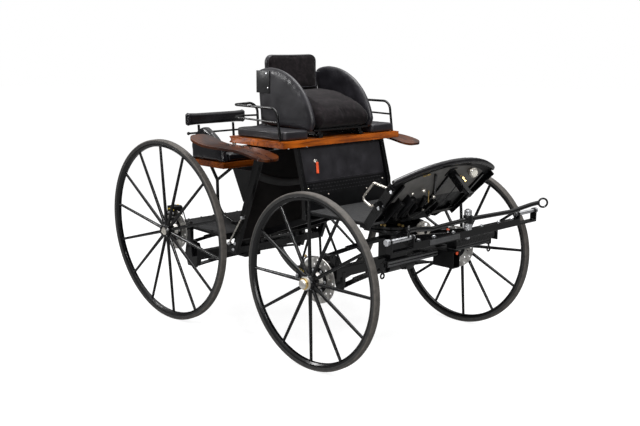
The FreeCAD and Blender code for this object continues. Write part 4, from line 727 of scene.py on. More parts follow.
class CARRIAGE_OT_upholstery(bpy.types.Operator):
    """Pad the driver's seat, its wings and side pads, the groom's seat and the dash's rim"""

    bl_idname = "carriage.upholstery"
    bl_label = "Upholstery"

    def execute(self, context):
        made = {row[0]: cover_blank(row[0], row[2], row[5]) for row in COVERS}
        swell({made[row[0]][0]: row[3] for row in COVERS if row[3]})
        for node, finish, _, _, crown, half, fill in COVERS:
            piece, limits = made[node]
            modify(piece, "SMOOTH", factor=0.5, iterations=2)
            fill_box(piece, limits, crown)
            if half:
                modify(piece, "MIRROR", use_axis=(False, True, False), use_mirror_merge=False)
            modify(piece, "SUBSURF", levels=1, render_levels=1)
            smooth(piece, math.pi)
            fit(piece, finish, replaced=node)
        back = made["back_pad"][0]
        back.data.materials.append(FINISHES["leather"])
        for face in back.data.polygons:
            face.material_index = 0 if face.normal.x > 0.6 else 1
        return {"FINISHED"}


# ---------------------------------------------------------------- fittings
def bolt_head(name, across, height, washer=1.5):
    """Hexagon head on its washer, upright, with its seat at the origin."""
    head = stepped(f"{name}_head", across, height, [
        (0.5, 0.2), (0.577, 0.3), (0.577, 0.85), (0.46, 1), (0.2, 1)], 6, 0.5)
    ring = stepped(f"{name}_washer", across, height, [
        (0.45 * washer, 0), (0.5 * washer, 0.05), (0.5 * washer, 0.2), (0.4, 0.22)], 16)
    return join(name, [head, ring])


def round_head(name, radius, height):
    """Domed head of a coach bolt or rivet, upright."""
    return stepped(name, radius, height, [
        (0.9, 0), (1, 0.15), (0.92, 0.5), (0.7, 0.8), (0.35, 1)], 12, 1.2)


def both(rows):
    """Rows of (x, y, z), with each one's like on the other side."""
    return [(x, side * y, z) for x, y, z in rows for side in (1, -1)]


def on_both_sides(inner, outer):
    """Limits across the carriage of a piece and of its like on the right."""
    return (inner, outer), (-outer, -inner)


def on_surface(node, spots, aim):
    """Places where lines from each spot along an aim meet a node, facing out of it."""
    view = bpy.context.evaluated_depsgraph_get()
    cast = [NODES[node].ray_cast(Vector(spot), Vector(aim), distance=0.6, depsgraph=view)
            for spot in spots]
    return [facing(where, normal) for hit, where, normal, _ in cast if hit]


def wheel_place(wheel):
    """Place at the wheel's centre, with the axle's outer end upwards."""
    joint = JOINTS[f"{wheel}_wheel_spin"]
    return facing(joint["pos_m"], Vector(joint["axis"]) * (1 if joint["pos_m"][1] > 0 else -1))


def around(place, count, radius, height, start=0.0):
    """Places round an upright axis."""
    angles = [start + 2 * math.pi * number / count for number in range(count)]
    return [place @ Matrix.Translation((radius * math.cos(angle), radius * math.sin(angle), height))
            for angle in angles]


# Outer and inner half of a disc's carrier: radius, height above the disc's middle.
CARRIERS = (
    ((0.060, 0.0031), (0.076, 0.0033), (0.076, 0.0052), (0.070, 0.0062), (0.052, 0.0068)),
    ((0.052, -0.0058), (0.070, -0.0056), (0.072, -0.0032), (0.050, -0.0031)),
)


class CARRIAGE_OT_wheel_fittings(bpy.types.Operator):
    """Bolt the discs to the hubs and dress the hub caps"""

    bl_idname = "carriage.wheel_fittings"
    bl_label = "Wheel fittings"

    def execute(self, context):
        disc = -0.060
        for wheel in WHEELS:
            body = f"{wheel}_spin"
            place = wheel_place(wheel)
            halves = [turned("carrier", [(radius, disc + height) for radius, height in profile], 40)
                      for profile in CARRIERS]
            fit(put(join(f"{wheel}_disc_carrier", halves), place), "satin", body)
            fit(copies(bolt_head("disc_bolt", 0.012, 0.006), f"{wheel}_disc_bolts",
                       around(place, 6, 0.0625, disc + 0.006)), "zinc", body)
            fit(copies(bolt_head("barrel_bolt", 0.009, 0.005, 1.3), f"{wheel}_barrel_bolts",
                       around(place, 6, 0.0375, 0.0245, 0.3)), "zinc", body)
            if wheel.startswith("rear"):
                face = turned(f"{wheel}_cap_face", [
                    (0.0275, 0.0240), (0.0275, 0.0262), (0.0225, 0.0278), (0.0215, 0.0268),
                    (0.010, 0.0272)], 36)
                fit(put(face, place), "nickel", body)
            else:
                rings = [turned("cap_ring", [(0.0302, level - 0.003), (0.0335, level - 0.002),
                                             (0.0335, level + 0.002), (0.0302, level + 0.003)], 32)
                         for level in (0.036, 0.050)]
                fit(put(join(f"{wheel}_cap_rings", rings), place), "brass", body)
        return {"FINISHED"}


class CARRIAGE_OT_brake_fittings(bpy.types.Operator):
    """Add the calipers' pins and dots and the hose unions"""

    bl_idname = "carriage.brake_fittings"
    bl_label = "Brake fittings"

    def execute(self, context):
        for end, body in (("rear", "chassis"), ("front", "front_carriage")):
            node = f"{end}_calipers"
            low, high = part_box(node)
            x = (low.x + high.x) / 2
            dots, pins = [], []
            for side in (1, -1):
                dots += on_surface(node, [
                    (x + step, side * 0.9, high.z - 0.012 - abs(step) * 0.3)
                    for step in (-0.030, -0.015, 0.0, 0.015, 0.030)], (0, -side, 0))
                pins += on_surface(node, [
                    (x + step, side * 0.9, low.z + 0.018) for step in (-0.022, 0.022)], (0, -side, 0))
            low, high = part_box(f"{end}_brake_hoses")
            unions = [facing((low.x + 0.012, side * (high.y - 0.012), high.z - 0.004), (0, side * 0.3, 1))
                      for side in (1, -1)]
            for head, name, places, finish, slot in (
                (round_head("caliper_dot", 0.0048, 0.003), "caliper_dots", dots, "yellow", "zinc"),
                (bolt_head("caliper_pin", 0.014, 0.008), "caliper_pins", pins, "zinc", "zinc"),
                (bolt_head("hose_union", 0.013, 0.012, 1.1), "hose_unions", unions, "brass", "nickel"),
            ):
                fit(copies(head, f"{end}_{name}", places), finish, body)
        return {"FINISHED"}


def seam(name, points, node, radius):
    """Cord or stitch line laid round a node's cover."""
    clear_selection()
    bpy.ops.mesh.primitive_circle_add(vertices=len(points))
    line = named(name)
    for vertex, point in zip(line.data.vertices, points):
        vertex.co = point
    modify(line, "SUBSURF", levels=2, render_levels=2, subdivision_type="SIMPLE")
    modify(line, "SHRINKWRAP", target=bpy.data.objects[f"{node}_cover"], offset=radius * 0.35)
    modify(line, "SMOOTH", factor=0.5, iterations=3)
    choose(line)
    bpy.ops.object.convert(target="CURVE")
    curve = bpy.context.object
    curve.data.bevel_depth = radius
    curve.data.bevel_resolution = 2
    bpy.ops.object.convert(target="MESH")
    return fit(settle(smooth(bpy.context.object, 1.2)), "leather")


def arcs(corners, radius, steps):
    """Points of quarter circles, each given by its centre and the quarter that it starts at."""
    return [(across + radius * math.cos(math.pi / 2 * (quarter + step / steps)),
             up + radius * math.sin(math.pi / 2 * (quarter + step / steps)))
            for across, up, quarter in corners for step in range(steps + 1)]


class CARRIAGE_OT_seat_fittings(bpy.types.Operator):
    """Add the piping and seams, the gussets and the blank plate with its rivets"""

    bl_idname = "carriage.seat_fittings"
    bl_label = "Seat fittings"

    def execute(self, context):
        sides = (("left", 1), ("right", -1))
        low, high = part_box("back_pad")
        inset, corner = 0.006, 0.045
        bend = inset + corner
        outline = [(high.y - inset, low.z + 0.03),
                   *arcs([(high.y - bend, high.z - bend, 0), (low.y + bend, high.z - bend, 1)], corner, 6),
                   (low.y + inset, low.z + 0.03), (low.y + inset + 0.02, low.z + 0.012),
                   (high.y - inset - 0.02, low.z + 0.012)]
        front, lean = -0.2374, 0.07
        seam("back_piping", [(front - (z - low.z) * lean, y, z) for y, z in outline], "back_pad", 0.0026)

        low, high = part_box("groom_backrest")
        for name, side in sides:
            points = [(x, side * (high.y - 0.018), z) for x, z in (
                (low.x, low.z + 0.012), (low.x, high.z - 0.012), (low.x + 0.010, high.z),
                (high.x - 0.010, high.z), (high.x, high.z - 0.012), (high.x, low.z + 0.012),
                (high.x - 0.010, low.z), (low.x + 0.010, low.z))]
            seam(f"groom_back_seam_{name}", points, "groom_backrest", 0.0022)

        low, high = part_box("side_pads")
        inner, edge, corner = 0.2506, 0.006, 0.024
        ends = [(high.x - corner, high.y - corner, 0), (low.x + corner, high.y - corner, 1),
                (low.x + corner, inner + corner, 2), (high.x - corner, inner + corner, 3)]
        for name, side in sides:
            points = [(x, side * y, high.z - edge) for x, y in arcs(ends, corner - edge * 0.3, 3)]
            seam(f"side_pad_seam_{name}", points, "side_pads", 0.0016)

        # Leather gussets between the back pad and the wings.
        low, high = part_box("seat_shell")
        gussets = [slab("gusset", (low.x - 0.002, inner, low.z + 0.06),
                        (low.x + 0.030, outer, high.z - 0.004), 0.006, 3)
                   for inner, outer in on_both_sides(0.200, 0.240)]
        fit(join("seat_gussets", gussets), "leather")

        # Blank plate on the right wing, with two bright rivets.
        wing = -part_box("seat_wings")[1].y
        plate = slab("wing_plate", (-0.290, wing - 0.006, 1.505), (-0.154, wing - 0.0015, 1.645),
                     0.003, 3)
        pick(plate, "vertices", lambda vertex: vertex.co.x < -0.28)
        edit("VERT")
        bpy.ops.transform.translate(value=(0.012, 0, 0))
        done()
        fit(plate, "plate")
        rivets = [facing((x, wing - 0.0055, z), RIGHT) for x, z in ((-0.182, 1.628), (-0.168, 1.536))]
        fit(copies(round_head("rivet", 0.0065, 0.004), "wing_plate_rivets", rivets), "zinc")
        return {"FINISHED"}


def hung_panel(name, corners, columns, rows, bow, thickness, seed_wave):
    """Sheet between four corners, with a little slack, given a thickness."""
    clear_selection()
    bpy.ops.mesh.primitive_grid_add(x_subdivisions=columns, y_subdivisions=rows, size=1)
    piece = settle(named(name))
    low_left, low_right, high_right, high_left = (Vector(corner) for corner in corners)
    normal = (low_right - low_left).cross(high_left - low_left).normalized()
    for vertex in piece.data.vertices:
        u, v = vertex.co.x + 0.5, vertex.co.y + 0.5
        spot = (low_left * (1 - u) + low_right * u) * (1 - v) + (high_left * (1 - u) + high_right * u) * v
        slack = bow * math.sin(math.pi * u) * math.sin(math.pi * v)
        wave = seed_wave * math.sin(9 * u + 2.4 * v) * math.sin(3 * v) * math.sin(math.pi * u)
        vertex.co = spot + normal * (slack + wave)
    modify(piece, "SOLIDIFY", thickness=thickness, offset=0)
    modify(piece, "BEVEL", width=thickness * 0.3, segments=2, limit_method="ANGLE")
    return smooth(piece, 0.8)


class CARRIAGE_OT_apron(bpy.types.Operator):
    """Hang the leather apron below the seat, with its tag, and stretch the mesh behind"""

    bl_idname = "carriage.apron"
    bl_label = "Apron and mesh"

    def execute(self, context):
        low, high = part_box("front_flap")
        half = high.y
        top_x, low_x = low.x + 0.005, high.x - 0.005
        apron = hung_panel("apron", [(low_x, -half, low.z), (low_x, half, low.z), (top_x, half, high.z),
                                     (top_x, -half, high.z)], 40, 16, 0.003, 0.004, 0.0012)
        fit(apron, "leather", replaced="front_flap")

        def front(y, z, out):
            share = (high.z - z) / (high.z - low.z)
            return Vector((top_x + (low_x - top_x) * share + out, y, z))

        inset, out = 0.010, 0.003
        corners = [front(side * (half - inset), z, out) for side, z in (
            (-1, low.z + inset), (1, low.z + inset), (1, high.z - inset), (-1, high.z - inset))]
        hems = [tube("apron_hem", [start, end], 0.0012, bend=False, sides=2)
                for start, end in zip(corners, corners[1:] + corners[:1])]
        fit(join("apron_seams", hems), "leather")

        # Ring and pull tag.
        ring = tube("apron_ring", [front(*spot) for spot in (
            (-0.247, 1.112, 0.006), (-0.240, 1.117, 0.012), (-0.236, 1.108, 0.014),
            (-0.243, 1.101, 0.010), (-0.248, 1.105, 0.006))], 0.0022, closed=True)
        eyelet = put(round_head("apron_eyelet", 0.009, 0.004),
                     facing(front(-0.245, 1.112, out), (0.97, 0, 0.24)))
        fit(join("apron_ring", [ring, eyelet]), "nickel")
        tag = slab("apron_tag", (0, -0.010, -0.072), (0.006, 0.010, 0), 0.0028, 3)
        modify(tag, "SUBSURF", levels=1, render_levels=1)
        put(tag, Matrix.Translation(front(-0.236, 1.104, 0.008)) @ Matrix.Rotation(-0.22, 4, "Y")
            @ Matrix.Rotation(-0.10, 4, "X"))
        fit(smooth(tag), "orange")

        # Mesh between the rear legs, with its hems.
        low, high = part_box("rear_mesh_panel")
        thick = 0.003
        foot, head = low.x + thick, high.x - thick
        mesh = hung_panel("mesh_panel", [(foot, -high.y, low.z), (foot, high.y, low.z),
                                         (head, high.y, high.z), (head, -high.y, high.z)],
                          36, 30, 0.0, thick, 0.0015)
        fit(mesh, "mesh", replaced="rear_mesh_panel")

        def behind(y, z, out=0.0):
            share = (z - low.z) / (high.z - low.z)
            return Vector((foot + (high.x - low.x - 2 * thick) * share + out, y, z))

        edge = high.y - 0.012
        ends = (low.z + 0.01, high.z - 0.01)
        bands = [tube("mesh_hem", points, radius, bend=False, sides=3) for points, radius in (
            ([behind(y, low.z + 0.012) for y in (-edge, edge)], 0.006),
            ([behind(-edge, z) for z in ends], 0.005), ([behind(edge, z) for z in ends], 0.005))]
        fit(join("mesh_hems", bands), "rubber")

        # Curved strap across the mesh.
        steps, reach, width = 24, 0.36, 0.05
        line = [behind(y, 0.985 - 0.075 * (1 - (y / reach) ** 2), 0.004) for y in
                [-reach + 2 * reach * step / steps for step in range(steps + 1)]]
        strap = hung_panel("mesh_strap", [(0, -0.5, 0), (0, 0.5, 0), (0, 0.5, 1), (0, -0.5, 1)],
                           steps, 2, 0, 0.0025, 0)
        for vertex in strap.data.vertices:
            along = (vertex.co.y + 0.5) * steps
            first = max(0, min(steps - 1, int(along)))
            centre = line[first].lerp(line[first + 1], along - first)
            up = vertex.co.z - 0.5
            vertex.co = centre + Vector((vertex.co.x + up * 0.022, 0, up * width))
        fit(strap, "rubber")
        return {"FINISHED"}


DASH_SLOPE = math.radians(46.5)
DASH_UP = Vector((math.cos(DASH_SLOPE), 0, math.sin(DASH_SLOPE)))
DASH_OFF = Vector((-math.sin(DASH_SLOPE), 0, math.cos(DASH_SLOPE)))


def dash_place(across, up, off=0.0):
    """Point given across the dash to the right, up its slope and off its upper face."""
    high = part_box("footwell_floor")[1]
    return Vector((high.x, -across, high.z)) + DASH_UP * up + DASH_OFF * off


def dash_matrix(across, up, off=0.0):
    """Place in the dash's plane: first axis across to the right, second up, third off the face."""
    rows = Matrix((RIGHT, DASH_UP, RIGHT.cross(DASH_UP))).transposed().to_4x4()
    rows.translation = dash_place(across, up, off)
    return rows


def ribbed_mat(name, width, length, pitch, rib):
    """Flat mat with raised ribs along its first axis, at the origin."""
    thickness, margin = 0.003, 0.003
    base = slab(f"{name}_base", (-width / 2, 0, 0), (width / 2, length, thickness), 0.0008, 1)
    row = slab(f"{name}_rib", (-width / 2 + margin, 0, thickness * 0.8),
               (width / 2 - margin, pitch * 0.45, thickness + rib), rib * 0.45, 1)
    rows = copies(row, f"{name}_ribs", [Matrix.Translation((0, (number + 0.3) * pitch, 0))
                                        for number in range(int(length / pitch))])
    return join(name, [base, rows])


def lengthways(x, z):
    """Place that turns a mat's length forwards, from a starting line across the carriage."""
    return Matrix.Translation((x, 0, z)) @ Matrix.Rotation(-math.pi / 2, 4, "Z")


class CARRIAGE_OT_mats(bpy.types.Operator):
    """Lay the ribbed mats on the groom's platform, the footwell floor and the dash"""

    bl_idname = "carriage.mats"
    bl_label = "Mats"

    def execute(self, context):
        low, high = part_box("groom_platform")
        length = high.x - low.x - 0.02
        half_rear, half_front = 0.42, 0.464
        platform = ribbed_mat("platform_mat", 2 * half_rear, length, 0.014, 0.0018)
        spread = (half_front - half_rear) / length
        for vertex in platform.data.vertices:
            vertex.co.x *= 1 + vertex.co.y * spread / half_rear
        put(platform, lengthways(low.x + 0.01, high.z))

        low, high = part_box("footwell_floor")
        floor = put(ribbed_mat("floor_mat", 0.70, high.x - low.x - 0.03, 0.012, 0.0016),
                    lengthways(low.x + 0.02, high.z))
        dash = put(ribbed_mat("dash_mat", 0.70, 0.36, 0.012, 0.0016), dash_matrix(0, 0.012))
        for mat in (platform, floor, dash):
            fit(mat, "mat")
        return {"FINISHED"}


class CARRIAGE_OT_dash_fittings(bpy.types.Operator):
    """Dress the dash: liner, lamp, knobs, clamps, cylinders and pipes"""

    bl_idname = "carriage.dash_fittings"
    bl_label = "Dash fittings"

    def execute(self, context):
        # Grey liner on the front face, under the arch.
        clear_selection()
        bpy.ops.mesh.primitive_grid_add(x_subdivisions=24, y_subdivisions=8, size=1)
        liner = settle(named("dash_liner"))
        foot, crest = 0.20, 0.468
        for vertex in liner.data.vertices:
            across = vertex.co.x * 2 * 0.352
            top = crest - 0.098 * (across / 0.36) ** 2
            vertex.co = dash_place(across, foot + (top - foot) * (vertex.co.y + 0.5), -0.0118)
        modify(liner, "SOLIDIFY", thickness=0.003, offset=0)
        fit(smooth(liner), "liner")

        # Lamp: nickel shell with its bezel, and glass.
        place = facing(dash_place(-0.175, 0.425, -0.045), (0.86, -0.30, -0.10)) @ Matrix.Scale(0.72, 4)
        shell = turned("lamp_shell", [(0.012, -0.045), (0.028, -0.036), (0.036, -0.012), (0.037, 0.010),
                                      (0.034, 0.014)], 28)
        bezel = turned("lamp_bezel", [(0.039, 0.006), (0.041, 0.009), (0.041, 0.015), (0.037, 0.018)], 28)
        fit(put(join("lamp", [shell, bezel]), place), "nickel")
        glass = turned("lamp_glass", [(0.036, 0.016), (0.034, 0.020), (0.024, 0.024),
                                      (0.010, 0.026)], 28, 1.2)
        fit(put(glass, place), "glass")

        # Turned fittings, then the cheeks: where on the dash, which way, radius, length.
        def row(name, steps, sides, angle, rows):
            return [put(stepped(name, radius, length, steps, sides, angle),
                        facing(dash_place(*spot), way)) for spot, way, radius, length in rows]

        brass = row("brass_fitting", [
            (0.7, 0), (1, 0.06), (1, 0.3), (0.62, 0.34), (0.62, 0.62), (0.85, 0.66), (0.85, 0.92),
            (0.5, 1)], 6, 0.5, (
            ((-0.150, 0.365, -0.028), (0.7, 0.1, -0.7), 0.011, 0.034),
            ((-0.118, 0.352, -0.020), (0.0, 0.9, 0.4), 0.008, 0.046),
            ((0.205, 0.440, -0.022), (0, -1, -0.1), 0.006, 0.060),
            ((0.095, 0.290, -0.030), (0.0, 0, -1), 0.0045, 0.070)))
        fit(join("dash_brass", brass), "brass")
        knobs = row("knob", [(0.5, 0), (0.5, 0.6), (1, 0.9), (1, 1.5), (0.6, 2)], 18, 0.9, [
            (spot, (0.7, -0.25, -0.65), radius, radius) for spot, radius in (
                ((0.173, 0.318, -0.030), 0.013), ((0.004, 0.229, -0.028), 0.012),
                ((0.25, 0.30, -0.03), 0.009), ((-0.013, 0.10, -0.028), 0.010))])
        fit(join("dash_knobs", knobs), "nickel")
        cheeks = [put(slab("cheek", (-0.004, -height / 2, -depth), (0.004, height / 2, 0), 0.002),
                      dash_matrix(across, up, -0.012)) for across, up, height, depth in (
            (0.235, 0.17, 0.18, 0.052), (0.300, 0.15, 0.18, 0.040), (0.120, 0.12, 0.12, 0.046),
            (-0.110, 0.10, 0.10, 0.040))]
        cylinders = row("cylinder", [
            (0.5, 0), (0.5, 0.1), (1, 0.12), (1, 0.8), (1.15, 0.82), (1.15, 0.95), (0.8, 1)], 20, 0.6, (
            ((0.180, 0.090, -0.050), (0.55, 0, 0.75), 0.017, 0.150),
            ((0.265, 0.100, -0.045), (0.6, 0, 0.7), 0.014, 0.120),
            ((0.060, 0.150, -0.040), (0.6, -0.3, 0.6), 0.015, 0.100)))
        fit(join("dash_links", cheeks + cylinders), "satin")
        pipes = [tube("pipe", [dash_place(*spot) for spot in spots], radius) for radius, spots in (
            (0.0032, ((0.20, 0.16, -0.06), (0.16, 0.11, -0.085), (0.08, 0.10, -0.065),
                      (-0.04, 0.13, -0.05), (-0.10, 0.20, -0.03))),
            (0.0032, ((0.28, 0.15, -0.06), (0.24, 0.08, -0.062), (0.17, 0.06, -0.045),
                      (0.10, 0.04, -0.02))),
            (0.003, ((-0.11, 0.14, -0.05), (-0.16, 0.22, -0.04), (-0.15, 0.32, -0.03))))]
        fit(join("brake_pipes", pipes), "rubber")

        # Sleeve on the square bracket, with a plain end plate.
        sleeve = join("bracket_sleeve", [
            slab("bracket_sleeve", (-0.016, 0.418, 0.018), (0.016, 0.446, 0.192), 0.003, 3),
            slab("bracket_end", (-0.020, 0.412, 0.186), (0.020, 0.452, 0.198), 0.003, 3),
            slab("bracket_foot", (-0.030, 0.392, 0.010), (0.030, 0.456, 0.020), 0.002, 2)])
        put(sleeve, dash_matrix(0, 0) @ Matrix.Diagonal((1, 1, -1, 1)))
        choose(sleeve)
        edit()
        outwards()
        fit(sleeve, "gloss")

        # Bright clamps where the hand loop meets the web, which widens up the dash.
        web_foot, web_head, web_length = 0.383, 0.459, 0.384
        nut = [(0.0085, 0), (0.0085, 0.012), (0.0065, 0.013), (0.0065, 0.020), (0.004, 0.022)]
        clamps = []
        for up, off in ((0.188, -0.014), (0.345, -0.024)):
            across = web_foot + (web_head - web_foot) * up / web_length + 0.012
            clamps.append(put(turned("loop_nut", nut, 16),
                              facing(dash_place(across, up, off), (0.55, -0.35, -0.75))))
        fit(join("loop_nuts", clamps), "zinc")
        return {"FINISHED"}


class CARRIAGE_OT_kick_fittings(bpy.types.Operator):
    """Punch the kick panel's rows of dimples and set its studs"""

    bl_idname = "carriage.kick_fittings"
    bl_label = "Kick panel"

    def execute(self, context):
        top, foot, face, slant = 0.983, 0.905, 0.2466, 0.01545

        def on_kick(y, z):
            return facing((face + slant * (top - z) / (top - foot), y, z), (0.98, 0, 0.2))

        rows = [on_kick(-0.338 + 0.026 * column + (0.013 if row % 2 else 0), 0.967 - 0.021 * row)
                for row in range(3) for column in range(26)]
        dimple = turned("dimple", [(0.0031, 0), (0.0025, 0.0012), (0.0012, 0.0017)], 8, 1.2)
        fit(copies(dimple, "kick_dimples", rows), "dull")
        studs = [on_kick(*spot) for spot in (
            (0.173, 0.902), (0.335, 0.950), (-0.173, 0.902), (-0.335, 0.950))]
        fit(copies(round_head("kick_stud", 0.006, 0.005), "kick_studs", studs), "nickel")
        return {"FINISHED"}


class CARRIAGE_OT_front_fittings(bpy.types.Operator):
    """Dress the splinter bar, crossbar and pole socket: strips, nuts, plug, gaiter and loops"""

    bl_idname = "carriage.front_fittings"
    bl_label = "Front fittings"

    def execute(self, context):
        body = "front_carriage"
        x = middle("draught_pins").x + 0.0200
        strip = slab("splinter_strip", (x - 0.001, -0.36, 0.763), (x + 0.0045, -0.10, 0.791), 0.0012, 2)
        line = slab("strip_line", (0, -0.13, -0.0015), (0.0012, 0.13, 0.0015), 0.0004, 1)
        lines = copies(line, "strip_lines", [
            Matrix.Translation((x + 0.0042, -0.23, 0.769 + 0.0055 * number)) for number in range(4)])
        fit(join("splinter_strip", [strip, lines]), "lined", body)
        face = middle("lower_crossbar").x + 0.018
        strips = [slab("crossbar_strip", (face - 0.001, inner, height - 0.005),
                       (face + 0.003, outer, height + 0.005), 0.001, 1)
                  for inner, outer in on_both_sides(0.036, 0.466) for height in (0.645, 0.628)]
        fit(join("crossbar_strips", strips), "lined", body)

        # Plug in the mouth of the pole socket and the splinter bar's orange plug.
        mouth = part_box("pole_socket")[1]
        plug = turned("socket_plug", [(0.007, 0), (0.0095, 0.002), (0.0095, 0.006), (0.006, 0.009)], 16)
        fit(put(plug, facing((mouth.x - 0.001, 0, mouth.z - 0.009), FORWARD)), "orange", body)
        dot = turned("bar_plug", [(0.007, 0), (0.009, 0.002), (0.009, 0.006), (0.005, 0.009)], 14)
        fit(put(dot, facing((1.137, -0.100, 0.7972), UP)), "orange", body)

        # Hydraulic unions: one hung under the floor, one on the turntable, with a pipe between.
        under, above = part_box("footwell_floor")[0].z - 0.013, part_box("turntable_upper")[1].z + 0.0105
        unions = [put(turned("union", [
            (0.006, 0), (0.009, 0.002), (0.009, 0.012), (0.006, 0.014), (0.006, 0.024), (0.008, 0.026),
            (0.008, 0.036), (0.0045, 0.040)], 6, 0.5), facing(spot, (1, -0.12, 0)) @ Matrix.Scale(1.2, 4))
            for spot in ((0.722, -0.206, under), (0.768, -0.098, above))]
        fit(join("deck_unions", unions), "brass")
        pipe = tube("deck_pipe", [(0.770, -0.098, above), (0.746, -0.106, above + 0.0015),
                                  (0.730, -0.140, above + 0.0075), (0.722, -0.172, under - 0.001),
                                  (0.720, -0.196, under)], 0.0035)
        block = slab("union_block", (0.708, -0.222, under - 0.015), (0.734, -0.190, under + 0.014), 0.002)
        fit(join("deck_pipe", [pipe, block]), "satin")

        # Pin through the swingletree, with its collar and nuts, and the stem of the orange plug.
        x, y = JOINTS["swingletree_pivot"]["pos_m"][:2]
        collar = turned("pin_collar", [(0.019, 0), (0.021, 0.002), (0.021, 0.010), (0.014, 0.013)], 24)
        stem = turned("plug_stem", [(0.006, 0), (0.006, 0.005), (0.004, 0.007), (0.004, 0.020)], 12)
        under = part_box("splinter_bar")[0].z
        fit(join("swingletree_pin", [
            put(collar, Matrix.Translation((x, y, 0.8965))),
            put(bolt_head("pin_nut", 0.022, 0.010, 1.1), Matrix.Translation((x, y, 0.9045))),
            put(bolt_head("pin_low_nut", 0.026, 0.014, 1.2), facing((x + 0.001, y, under), -UP)),
            put(stem, facing((1.137, -0.100, 0.7815), UP))]), "zinc", body)

        # Ribbed rubber gaiter on the left.
        ribs, pitch, start = 14, 0.027, 0.012
        profile = [(0.016, 0.0)]
        for number in range(ribs):
            base = start + pitch * number
            profile += [(0.024, base), (0.031, base + 0.007), (0.031, base + 0.012),
                        (0.024, base + 0.019)]
        profile.append((0.016, start + pitch * ribs + 0.006))
        gaiter = put(turned("gaiter", profile, 24, 0.5), facing((1.047, 0.062, 0.688), LEFT))
        fit(gaiter, "rubber", body)
        ends = [slab("gaiter_end", (1.012, y - 0.005, 0.652), (1.082, y + 0.005, 0.724), 0.004, 3)
                for y in (0.058, 0.462)]
        fit(join("gaiter_ends", ends), "satin", body)

        # Nuts on the splinter bar and on its trace bolts.
        line = 1.1966
        nuts = [facing(spot, UP) for spot in both([(line, y, 0.797) for y in (0.130, 0.300, 0.430)])]
        fit(copies(bolt_head("bar_nut", 0.017, 0.010), "splinter_nuts", nuts), "zinc", body)
        nuts = [facing((line, side * 0.684, 0.822), (0, side, 0)) for side in (1, -1)]
        fit(copies(bolt_head("trace_nut", 0.030, 0.010, 1.2), "trace_nuts", nuts), "zinc", body)

        # Lifting loops and roller under the crossbar.
        bends = ((-0.022, 0), (-0.026, 0.022), (-0.014, 0.040), (0.014, 0.040), (0.026, 0.022), (0.022, 0))
        loops = [tube("loop", [(0.986, y + out, 0.622 - drop) for out, drop in bends], 0.004)
                 for y in (0.12, -0.30)]
        fit(join("lifting_loops", loops), "gloss", body)
        roller = turned("roller", [(0.012, 0), (0.028, 0.004), (0.030, 0.012), (0.030, 0.060), (0.028, 0.068),
                                   (0.012, 0.072)], 28)
        fit(put(roller, facing((0.972, -0.285, 0.600), LEFT)), "rubber", body)
        return {"FINISHED"}


class CARRIAGE_OT_bolts(bpy.types.Operator):
    """Set the bolts of the mudguards, boards and legs, the platform's knobs and the leg braces"""

    bl_idname = "carriage.bolts"
    bl_label = "Bolts"

    def execute(self, context):
        guards, legs = [], []
        for side in (1, -1):
            guards += on_surface("mudguards", [
                (x, side * 0.60, 1.6) for x in (-0.19, -0.13, -0.05, 0.03)], (0, 0, -1))
            legs += on_surface("rear_legs", [(x, side * 0.6, z) for x, z in (
                (-0.388, 0.478), (-0.372, 0.520), (-0.095, 1.150), (-0.108, 1.110))], (0, -side, 0))
        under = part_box("seat_board")[0].z
        board = [facing(spot, -UP) for spot in both([
            (x, y, under) for x in (-0.20, 0.0, 0.20) for y in (0.30, 0.45)])]
        low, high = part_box("groom_board")
        groom = [facing(spot, -UP) for spot in both([
            (x, 0.25, low.z) for x in (low.x + 0.05, high.x - 0.05)])]
        low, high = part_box("groom_platform")
        knobs = [facing(spot, UP) for spot in (
            *[(low.x + 0.016, -0.44 + 0.11 * number, high.z + 0.003) for number in range(9)],
            *[(x, side * 0.455, high.z + 0.003) for side in (1, -1) for x in (-0.86, -0.70, -0.54)])]

        # Slim brace outside each rear leg, with an eye at each end.
        ends = ((-0.278, 0.707), (-0.412, 0.518))
        braces = [tube("brace", [(x, side * 0.420, z) for x, z in ends], 0.0055, bend=False)
                  for side in (1, -1)]
        eyes = [facing((x, side * 0.402, z), (0, side, 0)) for side in (1, -1) for x, z in ends]
        eye = turned("brace_eye", [(0.010, 0), (0.011, 0.003), (0.011, 0.022), (0.007, 0.026)], 16)

        for name, head, places, finish, slot in (
            ("mudguard_bolts", round_head("guard_bolt", 0.011, 0.006), guards, "gloss", "black_steel"),
            ("board_bolts", bolt_head("board_bolt", 0.013, 0.008), board, "zinc", "zinc"),
            ("groom_bolts", bolt_head("groom_bolt", 0.013, 0.008), groom, "zinc", "zinc"),
            ("leg_braces", join("brace", braces), [Matrix()], "nickel", "black_steel"),
            ("brace_eyes", eye, eyes, "zinc", "zinc"),
            ("platform_knobs", round_head("platform_knob", 0.008, 0.006), knobs, "gloss", "black_steel"),
            ("leg_bolts", bolt_head("leg_bolt", 0.015, 0.008), legs, "zinc", "zinc"),
        ):
            fit(copies(head, name, places), finish)
        return {"FINISHED"}


# ---------------------------------------------------------------- stage
def studio_material(name, colour, glow):
    """Pale surface that reads as white to the camera and keeps the shadows."""
    finish = Finish(name, 0.9, Specular_IOR_Level=0.0, Emission_Color=(1, 1, 1, 1))
    path = finish.node("ShaderNodeLightPath").outputs
    gloss = finish.maths("MULTIPLY", path["Is Glossy Ray"], 0.06)
    seen = finish.maths("MAXIMUM", path["Is Camera Ray"], finish.maths(
        "MAXIMUM", path["Is Transmission Ray"], gloss))
    finish.set("Emission Strength", finish.maths("MULTIPLY", seen, glow))
    return finish.surface((*colour, 1))


